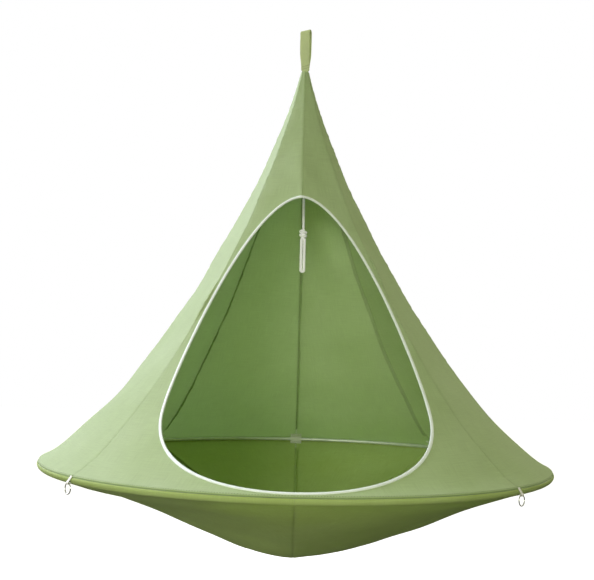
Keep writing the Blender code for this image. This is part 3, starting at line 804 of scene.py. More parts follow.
@dataclass(frozen=True)
class RibbedTape:
    """Woven tape or webbing with cross ribs and tight selvedges, of polyester, polypropylene or cotton.

    Filament yarn is smoother than spun yarn, so its ribs catch small soft lights. Cotton's are duller.
    """

    name: str
    colour: str
    shadow: str
    # Real ribs lie about 0.6 mm apart. They are drawn at the pitch given, so that they show.
    rib: float = 1.3 * MM
    roughness: float = 0.62
    sheen: float = 0.15
    relief: float = 0.22 * MM
    soiling: float = 0.05

    def build(self) -> bpy.types.Material:
        """Make the material."""
        material, tree = new_material(self.name)
        _, across, along = lengths_on(tree, "weave")
        place = add_node(tree, "ShaderNodeTexCoord").outputs["Object"]
        turn = 2 * math.pi / self.rib
        ribs = combined(tree, "SINE", times(tree, along, turn))
        slant = added(tree, times(tree, across, turn * 0.8), times(tree, along, turn * 0.5))
        twill = combined(tree, "SINE", slant)
        height = added(tree, times(tree, ribs, 0.5), times(tree, twill, 0.35))
        fine = noise(tree, place, 90.0, 4.0)
        broad = noise(tree, place, 14.0, 3.0)
        base = mixed(tree, ranged(tree, height, -0.8, 0.6, 0.35, 1.0), self.shadow, self.colour)
        soiled = varied(tree, broad, -self.soiling, self.soiling)
        shade = added(tree, soiled, varied(tree, fine, -0.03, 0.03))
        normal = bumped(tree, added(tree, height, times(tree, fine, 0.8)), 0.6, self.relief)
        rough = varied(tree, fine, self.roughness - 0.06, self.roughness + 0.08)
        put_out(tree, glossy(tree, {"Base Color": toned(tree, base, shade), "Roughness": rough, "IOR": 1.55,
                                    "Specular IOR Level": 0.4, "Sheen Weight": self.sheen,
                                    "Sheen Roughness": 0.4, "Normal": normal}))
        return material


@dataclass(frozen=True)
class SpunYarn:
    """Twisted yarn: sewing thread, or the strands of a cotton cord.

    Short fibres stand off the twist, so it looks matt, with fine slanted lines.
    """

    name: str
    colour: str
    shadow: str
    # Fibre bundles of the twist, drawn about twice as wide as real ones.
    bundle: float = 0.9 * MM
    roughness: float = 0.88
    sheen: float = 0.4
    relief: float = 0.18 * MM
    # Painted light: a faint glow of the yarn's own, which makes white cord brighter than the lamps light it.
    painted_glow: float = 0.0

    def build(self) -> bpy.types.Material:
        """Make the material."""
        material, tree = new_material(self.name)
        _, across, along = lengths_on(tree, "weave")
        place = add_node(tree, "ShaderNodeTexCoord").outputs["Object"]
        turn = 2 * math.pi / self.bundle
        slant = added(tree, times(tree, across, turn), times(tree, along, -turn * 0.7))
        twist = combined(tree, "SINE", slant)
        fine = noise(tree, place, 260.0, 4.0)
        broad = noise(tree, place, 24.0, 2.0)
        base = mixed(tree, ranged(tree, twist, -1.0, 0.4, 0.3, 1.0), self.shadow, self.colour)
        shade = added(tree, varied(tree, broad, -0.05, 0.04), varied(tree, fine, -0.04, 0.04))
        normal = bumped(tree, added(tree, twist, fine), 0.6, self.relief)
        # The emission is painted light, a glow of the yarn's own.
        put_out(tree, glossy(tree, {"Base Color": toned(tree, base, shade), "Roughness": self.roughness,
                                    "IOR": 1.5, "Specular IOR Level": 0.3, "Sheen Weight": self.sheen,
                                    "Sheen Roughness": 0.5, "Emission Color": linear("#F6F4FF"),
                                    "Emission Strength": self.painted_glow, "Normal": normal}))
        return material


@dataclass(frozen=True)
class DrawnMetal:
    """Metal drawn through a die: anodised aluminium tube, zinc-plated steel or bright steel wire.

    Drawing leaves fine lines along the piece and a satin gloss, which anodising dulls. Handling leaves
    duller patches.
    """

    name: str
    colour: str
    dull: str
    roughness: float
    # Draw lines are finer than 0.1 mm. They are drawn this wide so that they show.
    line_width: float = 0.5 * MM
    line_length: float = 60.0 * MM
    relief: float = 0.02 * MM

    def build(self) -> bpy.types.Material:
        """Make the material."""
        material, tree = new_material(self.name)
        weave, _, _ = lengths_on(tree, "weave")
        place = add_node(tree, "ShaderNodeTexCoord").outputs["Object"]
        lines = streaks(tree, weave, self.line_width, self.line_length, 3.0)
        patches = noise(tree, place, 28.0, 5.0)
        base = mixed(tree, ranged(tree, patches, 0.35, 0.7, 0.0, 0.6), self.colour, self.dull)
        drawn = varied(tree, lines, self.roughness - 0.04, self.roughness + 0.06)
        rough = added(tree, varied(tree, patches, -0.04, 0.08), drawn)
        put_out(tree, glossy(tree, {"Base Color": base, "Metallic": 1.0, "Roughness": rough,
                                    "Normal": bumped(tree, lines, 0.5, self.relief)}))
        return material


@dataclass(frozen=True)
class Relief:
    """How sewn cloth departs from its smooth form."""

    form: ConeForm
    half: Half
    undulation: float = 1.3 * MM
    groove: float = 0.6 * MM
    pouch_groove: float = 0.5 * MM
    groove_width: float = 2.4 * MM
    pucker: float = 0.45 * MM
    pucker_reach: float = 13.0 * MM
    hem_groove: float = 0.7 * MM
    hem_groove_width: float = 1.5 * MM
    quiet_hem: float = 60.0 * MM
    door_calm: float = 40.0 * MM
    # How the pouch hangs: the bellies of its side and front panels, the lift of its side seams and of its
    # tip, how much lower it hangs on the right, and how high its soft folds stand.
    side_belly: float = 11.0 * MM
    front_belly: float = 3.0 * MM
    side_lift: float = 9.5 * MM
    tip_lift: float = 12.0 * MM
    right_sag: float = 5.0 * MM
    fold: float = 1.2 * MM

    def offsets(self, azimuth: np.ndarray, along: np.ndarray, radius: np.ndarray, seam_distance: np.ndarray,
                hem_distance: np.ndarray, seams: tuple[int, int]) -> np.ndarray:
        """Offsets along the outward normal for one gore.

        Args:
            azimuth: Azimuth of each point.
            along: Distance along the seam line of each row.
            radius: Seam radius of each row.
            seam_distance: Distance of each point to the nearer seam.
            hem_distance: Distance of each point to the hem seam.
            seams: Numbers of the seams at the gore's first and last column.
        """
        half_width = radius * math.radians(GORE_ANGLE / 2)
        narrow = np.clip(half_width / (16 * MM), 0.0, 1.0)
        width = np.maximum(self.groove_width * narrow, 0.4 * MM)
        groove = self.groove if self.half is Half.CANOPY else self.pouch_groove
        offset = -groove * narrow * np.exp(-(seam_distance / width) ** 2)
        first, last = (Ripple(31 + seam, 11 * MM, 44 * MM).at(along) for seam in seams)
        column = np.linspace(0.0, 1.0, azimuth.shape[1])[None, :]
        puckers = np.where(column < 0.5, first, last)
        away_from_hem = smooth_step(hem_distance / (20 * MM))
        near_seam = np.exp(-seam_distance / self.pucker_reach)
        offset = offset + self.pucker * narrow * puckers * away_from_hem * near_seam
        calm = smooth_step(hem_distance / self.quiet_hem) * np.clip(half_width / (60 * MM), 0.0, 1.0)
        waves = Undulation(5 if self.half is Half.CANOPY else 6, 9, 0.12, 0.45).at(azimuth, along)
        offset = offset + self.undulation * calm * waves
        offset = offset - self.hem_groove * np.exp(-(hem_distance / self.hem_groove_width) ** 2)
        if self.half is Half.POUCH:
            offset = offset + self.pouch_sag(azimuth, radius)
        return offset

    def pouch_sag(self, azimuth: np.ndarray, radius: np.ndarray) -> np.ndarray:
        """Bellies between the pouch's tight seams, its uneven hang, and soft slanting folds near its tip."""
        edge = smooth_step((self.form.rim_radius - 30 * MM - radius) / (150 * MM))
        middle = smooth_step((radius - 40 * MM) / (150 * MM))
        side = np.sin(np.radians(azimuth))
        panel_middle = (np.floor(azimuth / GORE_ANGLE) + 0.5) * GORE_ANGLE
        slack = np.where(np.cos(np.radians(panel_middle)) > 0.8, self.front_belly, self.side_belly)
        off_middle = (azimuth - panel_middle) / (GORE_ANGLE / 2)
        belly = slack * (1.0 - off_middle ** 2)
        seam_lift = self.side_lift * np.abs(side) ** 1.5
        uneven = self.right_sag * side * smooth_step((radius - 80 * MM) / (120 * MM))
        tip = self.tip_lift * (1.0 - smooth_step(radius / (140 * MM)))
        spiral = np.radians(azimuth) * 5 + radius / (38 * MM)
        folds = self.fold * np.sin(spiral) * np.exp(-((radius - 90 * MM) / (55 * MM)) ** 2)
        return (belly - seam_lift + uneven) * edge * middle - tip + folds

    def door_mask(self, points: np.ndarray) -> np.ndarray:
        """From 0 at the doorway's edge up to 1, where the cloth is free to move."""
        outline = self.form.door_outline(160)
        flat = np.stack([points[..., 0], points[..., 2] - self.form.rim_z], axis=-1)
        nearest = np.full(flat.shape[:-1], np.inf)
        for corner in outline:
            nearest = np.minimum(nearest, np.linalg.norm(flat - corner, axis=-1))
        return smooth_step(nearest / self.door_calm)


@dataclass(frozen=True)
class Gore:
    """One panel of cloth: its name, its number round the pod and its half."""

    form: ConeForm
    half: Half
    number: int
    columns: int = 48
    thickness: float = 0.7 * MM
    seam_gap: float = 0.2 * MM
    column_grading: float = 1.5

    @property
    def name(self) -> str:
        """Its name, as in the frame."""
        return GORE_NAMES[self.number]

    @property
    def rows(self) -> int:
        """Steps along the seam line."""
        return 230 if self.half is Half.CANOPY else 130

    def outer_face(self) -> tuple[np.ndarray, np.ndarray, np.ndarray]:
        """The outer face of the cloth.

        Returns:
            Its points, the lengths on the cloth, and the distances to the nearest seam and the hem seam.
        """
        form = self.form
        line = form.seam_line(self.half)
        total = lengths_along(line)[-1]
        rows = graded(total, self.rows)
        radius, height = (value[:, None] for value in read_line(line, rows).T)
        share = np.linspace(-1.0, 1.0, self.columns + 1)[None, :]
        share = np.sign(share) * (1.0 - (1.0 - np.abs(share)) ** self.column_grading)
        reach = GORE_ANGLE / 2 - np.degrees(self.seam_gap / 2 / radius)
        azimuth = (self.number + 0.5) * GORE_ANGLE + share * reach
        base = form.place(self.half, radius, height, azimuth)
        seam_distance = radius * np.radians(GORE_ANGLE / 2) * (1.0 - np.abs(share))
        along = np.broadcast_to(rows[:, None], seam_distance.shape)
        hem_distance = along if self.half is Half.CANOPY else total - along
        relief = Relief(form, self.half)
        seams = (self.number, (self.number + 1) % len(SEAM_NAMES))
        offset = relief.offsets(azimuth, along, radius, seam_distance, hem_distance, seams)
        if self.half is Half.CANOPY and self.name.startswith("front"):
            offset = offset * relief.door_mask(base)
        weave = np.stack([radius * np.radians(share * reach), along], axis=-1)
        edges = np.stack([seam_distance, hem_distance], axis=-1)
        return base + form.normals(self.half, rows, azimuth) * offset[..., None], weave, edges

    def draft(self) -> Draft:
        """The panel with both its faces."""
        outer, weave, edges = self.outer_face()
        draft = Draft()
        draft.sheet(outer, outer - surface_normals(outer) * self.thickness, weave, edges)
        return draft


@dataclass(frozen=True)
class SeamAllowances:
    """The two plies turned inward along a seam, leaning a little to one side."""

    form: ConeForm
    half: Half
    seam: int
    depth: float = 7.5 * MM
    ply: float = 0.5 * MM
    ply_gap: float = 0.12 * MM
    root: float = 0.35 * MM
    lean: float = 24.0
    sway: float = 9.0
    taper: float = 14.0 * MM
    steps: int = 4
    sewing: Stitch = Stitch(3.0 * MM, 0.45 * MM)
    stitch_depth: float = 2.4 * MM
    stitch_pitch: float = 4.4 * MM
    # Where the allowances end: over the rim, under the neck, over the doorway, round the pouch's tip and
    # inside the rim.
    over_rim: float = 30.0 * MM
    under_neck: float = 102.0 * MM
    over_door: float = 9.0 * MM
    round_tip: float = 30.0 * MM
    inside_rim: float = 45.0 * MM

    def span(self) -> tuple[float, float]:
        """Where the allowance starts and ends, along the seam line."""
        form = self.form
        line = form.seam_line(self.half)
        travelled = lengths_along(line)
        if self.half is Half.CANOPY:
            door_top = form.cone_height - form.door_headroom + self.over_door
            bottom = door_top if SEAM_NAMES[self.seam] == "front" else self.over_rim
            places, ends = line[:, 1], (bottom, form.cone_height - self.under_neck)
        else:
            inside = travelled <= travelled[np.argmax(line[:, 0])]
            places, travelled = line[inside, 0], travelled[inside]
            ends = (self.round_tip, form.rim_radius - self.inside_rim)
        low, high = np.interp(ends, places, travelled)
        return low, high

    def base(self) -> tuple[np.ndarray, np.ndarray, np.ndarray, np.ndarray]:
        """The seam's middle line.

        Returns:
            Distances along the seam, points on the cloth's outer face, inward directions and the way along.
        """
        form = self.form
        low, high = self.span()
        along = np.linspace(low, high, max(8, int((high - low) / (5 * MM))))
        seam_line = form.seam_line(self.half)
        line = read_line(seam_line, along)
        azimuth = np.full((len(line), 1), self.seam * GORE_ANGLE)
        radius, height = line[:, :1], line[:, 1:]
        points = form.place(self.half, radius, height, azimuth)
        hem_distance = along if self.half is Half.CANOPY else lengths_along(seam_line)[-1] - along
        relief = Relief(form, self.half)
        offset = relief.offsets(azimuth, along[:, None], radius, np.zeros_like(radius),
                                hem_distance[:, None], (self.seam, self.seam))
        if self.half is Half.CANOPY and SEAM_NAMES[self.seam] == "front":
            offset = offset * relief.door_mask(points)
        outward = form.normals(self.half, along, azimuth)[:, 0]
        points = points[:, 0] + outward * offset
        return along, points, -outward, unit(np.gradient(points, axis=0))

    def directions(self, along: np.ndarray, inward: np.ndarray) -> tuple[np.ndarray, np.ndarray]:
        """Which way the plies stand, and the direction through their thickness."""
        side = tangent_at(self.seam * GORE_ANGLE)
        lean = self.lean if self.seam % 2 else -self.lean
        angle = np.radians(lean + self.sway * Ripple(70 + self.seam, 0.05, 0.3).at(along))[:, None]
        return inward * np.cos(angle) + side * np.sin(angle), side * np.cos(angle) - inward * np.sin(angle)

    def add_to(self, draft: Draft, side: int) -> None:
        """Add the ply of one gore.

        Args:
            draft: The gore's draft.
            side: 1 for the gore on the growing azimuth's side of the seam, -1 for the other.
        """
        along, points, inward, _ = self.base()
        stand, through = self.directions(along, inward)
        ends = np.minimum(along - along[0], along[-1] - along) / self.taper
        depth = self.depth * (0.2 + 0.8 * smooth_step(ends))
        q = np.linspace(0.0, 1.0, self.steps + 1)[None, :, None]
        middle = points[:, None] + stand[:, None] * (self.root + (depth[:, None, None] - self.root) * q)
        near, far = self.ply_gap * side, (self.ply_gap + self.ply) * side
        weave = laid_out(depth[:, None] * q[..., 0], along[:, None])
        draft.sheet(middle + through[:, None] * near, middle + through[:, None] * far, weave)

    def stitch_line(self, draft: Draft) -> None:
        """Add the stitches that hold the plies together, near the root, on their growing-azimuth face."""
        along, points, inward, way = self.base()
        stand, through = self.directions(along, inward)
        at = np.arange(along[0] + self.stitch_pitch, along[-1] - self.stitch_pitch, self.stitch_pitch)
        places = points + stand * self.stitch_depth + through * (self.ply_gap + self.ply)
        draft.stitches(*(read_at(at, along, values) for values in (places, way, through)), self.sewing)


def report(piece: bpy.types.Object, body: Body, nodes: tuple[str, ...] = ()) -> bpy.types.Object:
    """Put a finished piece on its body and say so.

    Args:
        piece: The finished piece.
        body: The body that carries it.
        nodes: The frame's nodes that it stands for.
    """
    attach(piece, body.value)
    if nodes:
        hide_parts(*nodes)
    LOG.info("%s on %s, %d faces", piece.name, body.value, len(getattr(piece.data, "polygons", ())))
    return piece


@dataclass(frozen=True)
class Cloths:
    """The canopy's and pouch's panels with their seam allowances."""

    form: ConeForm
    canopy: bpy.types.Material
    pouch: bpy.types.Material
    thread: bpy.types.Material
    edge_inset: float = 1.6 * MM
    cut_reach: float = 12.0 * MM
    door_points: int = 256
    strip_margin: float = 1.001
    hem_stitch: Stitch = Stitch(2.9 * MM, 0.5 * MM)
    hem_stitch_place: float = 3.4 * MM
    hem_stitch_pitch: float = 4.2 * MM

    def door_plug(self) -> bpy.types.Object:
        """A closed plug through the doorway, its wall square to the cloth."""
        places, normals, outward = self.form.door_frames(self.door_points)
        edge = places - normals * CLOTH_MIDDLE + outward * self.edge_inset
        middle = edge.mean(axis=0)
        count = len(edge)
        points = [*(edge - normals * self.cut_reach), *(edge + normals * self.cut_reach),
                  middle + (0.0, self.form.rim_radius / 2, 0.0), middle - (0.0, self.form.rim_radius, 0.0)]
        faces = []
        for i in range(count):
            k = (i + 1) % count
            faces += [(i, k, count + k, count + i), (k, i, 2 * count), (count + i, count + k, 2 * count + 1)]
        mesh = bpy.data.meshes.new("door_plug")
        mesh.from_pydata([tuple(p) for p in points], [], faces)
        turn_outward(mesh)
        return add_object("door_plug", mesh)

    def cut_door(self, obj: bpy.types.Object, plug: bpy.types.Object) -> None:
        """Cut the doorway out of a panel and keep the result as its mesh."""
        cut = obj.modifiers.new("doorway", "BOOLEAN")
        cut.operation = "DIFFERENCE"
        cut.object = plug
        shown = obj.evaluated_get(bpy.context.evaluated_depsgraph_get())
        mesh = bpy.data.meshes.new_from_object(shown)
        obj.modifiers.clear()
        obj.data = mesh
        mesh.set_sharp_from_angle(angle=math.radians(CREASE_ANGLE))

    def build_panel(self, half: Half, number: int, plug: bpy.types.Object) -> None:
        """Make one panel."""
        gore = Gore(self.form, half, number)
        material = self.canopy if half is Half.CANOPY else self.pouch
        body = gore.draft()
        name = f"{half.value}_panel_{gore.name}"
        has_door = half is Half.CANOPY and gore.name.startswith("front")
        if has_door:
            shell = body.finish("shell", material)
            self.cut_door(shell, plug)
            body = Draft()
        for seam, side in ((number, 1), ((number + 1) % len(SEAM_NAMES), -1)):
            SeamAllowances(self.form, half, seam).add_to(body, side)
        obj = body.finish(name, material)
        if has_door:
            joined = bmesh.new()
            joined.from_mesh(obj.data)
            joined.from_mesh(shell.data)
            joined.to_mesh(obj.data)
            joined.free()
            bpy.data.objects.remove(shell)
        report(obj, Body.POD, (f"{half.value}_gore_{gore.name}",))
        self.declare(obj, gore, has_door)

    def declare(self, obj: bpy.types.Object, gore: Gore, has_door: bool) -> None:
        """Work out the flat cut of a panel: its area, length and width, which are not used further."""
        area = sum(face.area for face in obj.data.polygons) / 2
        line = self.form.seam_line(gore.half)
        length = lengths_along(line)[-1]
        width = 2 * math.pi * self.form.rim_radius / len(GORE_NAMES) + 2 * SeamAllowances.depth
        if has_door:
            # The doorway leaves a curved strip of these two, measured by its own length and mean width.
            length = length + width / 2
            width = area / length * self.strip_margin

    def build(self) -> None:
        """Make all sixteen panels."""
        plug = self.door_plug()
        for half in Half:
            for number in range(len(GORE_NAMES)):
                self.build_panel(half, number, plug)
        bpy.data.objects.remove(plug)

    def build_stitches(self) -> None:
        """Stitch lines: along every seam's allowances, and round the hem."""
        draft = Draft()
        for half in Half:
            for seam in range(len(SEAM_NAMES)):
                SeamAllowances(self.form, half, seam).stitch_line(draft)
        report(draft.finish("seam_stitches", self.thread), Body.POD)
        draft = Draft()
        line = self.form.seam_line(Half.CANOPY)
        radius, height = read_line(line, np.array([self.hem_stitch_place]))[0]
        count = int(2 * math.pi * radius / self.hem_stitch_pitch)
        azimuth = np.arange(count) * 360.0 / count
        places = self.form.place(Half.CANOPY, np.full(count, radius), np.full(count, height), azimuth)
        outward = outward_at(azimuth)
        angle = math.radians(self.form.hem_seam_angle) + self.hem_stitch_place / self.form.hem_roll
        normals = outward * math.cos(angle) + UP * math.sin(angle)
        along = np.cross(UP, outward)
        draft.stitches(places - normals * 0.1 * MM, along, normals, self.hem_stitch)
        report(draft.finish("hem_stitches", self.thread), Body.POD)


@dataclass(frozen=True)
class Doorway:
    """White binding round the doorway, with its row of stitches."""

    form: ConeForm
    tape: bpy.types.Material
    thread: bpy.types.Material
    width: float = 5.6 * MM
    thickness: float = 3.8 * MM
    points: int = 420
    sewing: Stitch = Stitch(2.5 * MM, 0.45 * MM)
    stitch_pitch: float = 3.8 * MM

    def build(self) -> None:
        """Make the binding and its stitches."""
        places, normals, outward = self.form.door_frames(self.points)
        path = places - normals * CLOTH_MIDDLE
        lengths = np.linspace(0.0, 1.3, self.points, endpoint=False)
        swell = 1.0 + 0.03 * Ripple(12, 0.02, 0.2).at(lengths)
        section = soft_box_section(self.width, self.thickness, 20, 2.6)
        sections = section[None] * swell[:, None, None]
        draft = Draft()
        draft.sweep(rings_along(path, outward, normals, sections), cyclic=True)
        report(draft.finish("doorway_binding", self.tape, TAPE_CREASE), Body.POD,
               ("doorway_piping",))
        stitches = Draft()
        perimeter = lengths_along(np.concatenate([path, path[:1]]))[-1]
        places, normals, outward = self.form.door_frames(2 * int(perimeter / self.stitch_pitch / 2))
        along = unit(np.roll(places, -1, axis=0) - np.roll(places, 1, axis=0))
        spots = places + outward * 1.9 * MM + normals * 1.05 * MM
        stitches.stitches(spots, along, unit(normals + outward * 0.45), self.sewing)
        report(stitches.finish("binding_stitches", self.thread), Body.POD)


@dataclass(frozen=True)
class Hoop:
    """Four bent aluminium tubes, butted over plated ferrules."""

    form: ConeForm
    metal: bpy.types.Material
    ferrule: bpy.types.Material
    wall: float = 1.0 * MM
    joint_gap: float = 0.3 * MM
    sides: int = 24
    steps: int = 90

    def build(self) -> None:
        """Make the tubes and dress the ferrules."""
        form = self.form
        gap = math.degrees(self.joint_gap / form.hoop_radius) / 2
        for number, name in enumerate(TUBE_NAMES):
            azimuth = np.linspace(number * TUBE_ANGLE + gap, (number + 1) * TUBE_ANGLE - gap, self.steps + 1)
            path = around(np.full(len(azimuth), form.hoop_radius), form.rim_z, azimuth)
            up = np.broadcast_to(UP, path.shape)
            outer, inner = (rings_along(path, outward_at(azimuth), up, round_section(radius, self.sides))
                            for radius in (form.tube_radius, form.tube_radius - self.wall))
            draft = Draft()
            self.add_wall(draft, outer, inner)
            report(draft.finish(f"hoop_{name}", self.metal), Body.POD, (f"hoop_tube_{name}",))
        for name in FERRULE_NAMES:
            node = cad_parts[f"hoop_ferrule_{name}"]
            node.data.materials.clear()
            node.data.materials.append(self.ferrule)

    @staticmethod
    def add_wall(draft: Draft, outer: np.ndarray, inner: np.ndarray) -> None:
        """Add a tube with a wall and open ends."""
        rows, columns = outer.shape[:2]
        across = lengths_along(np.concatenate([outer[0], outer[0][:1]]))
        along = lengths_along(outer[:, 0])
        weave = laid_out(across[None, :], along[:, None])
        first = draft.grid(outer, weave, wrap_columns=True)
        second = draft.grid(inner[:, ::-1], weave, wrap_columns=True)
        j = np.arange(columns)
        k = (j + 1) % columns
        for row in (0, rows - 1):
            a, b = first + row * columns, second + row * columns
            index = np.stack([a + j, a + k, b + columns - 1 - k, b + columns - 1 - j], axis=-1)
            draft.quads(index, np.zeros((columns, 4, 2)))


@dataclass(frozen=True)
class KeeperTabs:
    """Sewn cloth straps that hold the hoop to the seams."""

    form: ConeForm
    cloth: bpy.types.Material
    thread: bpy.types.Material
    width: float = 29.0 * MM
    thickness: float = 1.0 * MM
    up: float = 24.0 * MM
    down: float = 14.0 * MM
    clearance: float = 0.3 * MM
    cloth_wall: float = 1.0 * MM
    ripple: float = 0.25 * MM
    sewing: Stitch = Stitch(2.3 * MM, 0.42 * MM)
    stitch_pitch: float = 3.2 * MM
    # Rows of stitches, as shares of the tab's length from the pouch up.
    stitch_rows: tuple[float, ...] = (0.06, 0.16, 0.80, 0.94)

    def line(self) -> np.ndarray:
        """Middle line of a tab as (radius, height), from the pouch round the hoop up to the canopy."""
        form = self.form
        hoop = np.array((form.hoop_radius, 0.0))
        canopy_normal = heading(90.0 - form.flare_slope)
        pouch_normal = heading(form.pouch_slope - 90.0)
        inside = form.hem_roll - self.cloth_wall - self.clearance - self.thickness / 2
        canopy_gap = inside + (form.roll_centre - hoop).dot(canopy_normal)
        pouch_gap = inside + (form.roll_centre - hoop).dot(pouch_normal)
        wrap = form.tube_radius + self.clearance + self.thickness / 2
        pouch_end = hoop + pouch_normal * pouch_gap
        canopy_end = hoop + canopy_normal * canopy_gap
        down, up = heading(180.0 + form.pouch_slope), heading(180.0 - form.flare_slope)
        points = [pouch_end + down * reach for reach in (self.down, self.down / 2)]
        points += list(arc(hoop, wrap, 240.0, 120.0, 12))
        points += [canopy_end + up * reach for reach in (self.up / 2.6, self.up)]
        coarse = np.array(points)
        fine = read_line(coarse, np.linspace(0.0, lengths_along(coarse)[-1], 61))
        for _ in range(3):
            fine[1:-1] = (fine[:-2] + 2 * fine[1:-1] + fine[2:]) / 4
        return fine

    def build(self) -> None:
        """Make the seven tabs and their stitches."""
        line = self.line()
        stitches = Draft()
        across = np.linspace(-0.5, 0.5, 17) * self.width
        for number, name in enumerate(SEAM_NAMES):
            if name == "front":
                continue
            azimuth = number * GORE_ANGLE
            middle = self.form_points(line, azimuth, across)
            normals = surface_normals(middle)
            ripple = self.ripple * Ripple(200 + number, 6 * MM, 30 * MM).at(across + 0.01 * number)
            lift = smooth_step(np.abs(np.linspace(-1, 1, len(line))) * 1.6 - 0.5)
            middle = middle + normals * ripple[None, :, None] * lift[:, None, None]
            draft = Draft()
            weave = laid_out(across[None, :], lengths_along(line)[:, None])
            draft.sheet(middle + normals * self.thickness / 2, middle - normals * self.thickness / 2, weave)
            report(draft.finish(f"keeper_strap_{name}", self.cloth), Body.POD,
                   (f"keeper_tab_{name}",))
            self.stitch(stitches, middle, normals)
        report(stitches.finish("keeper_stitches", self.thread), Body.POD)

    def form_points(self, line: np.ndarray, azimuth: float, across: np.ndarray) -> np.ndarray:
        """Points of a tab's middle face, level across the seam."""
        drop = across ** 2 / (2 * self.form.hoop_radius)
        middle = (line[:, 0, None] - drop[None, :])[..., None] * outward_at(azimuth)
        middle = middle + across[None, :, None] * tangent_at(azimuth)
        return middle + (self.form.rim_z + line[:, 1])[:, None, None] * UP

    def stitch(self, draft: Draft, middle: np.ndarray, normals: np.ndarray) -> None:
        """Two rows of stitches across each sewn end."""
        for share in self.stitch_rows:
            row = int(len(middle) * share)
            line = middle[row]
            at = np.arange(2.0 * MM, self.width - 1.5 * MM, self.stitch_pitch)
            places = read_line(line, at)
            ups = read_at(at, lengths_along(line), -normals[row])
            way = np.broadcast_to(unit(line[-1] - line[0]), places.shape)
            draft.stitches(places + ups * self.thickness / 2, way, ups, self.sewing)


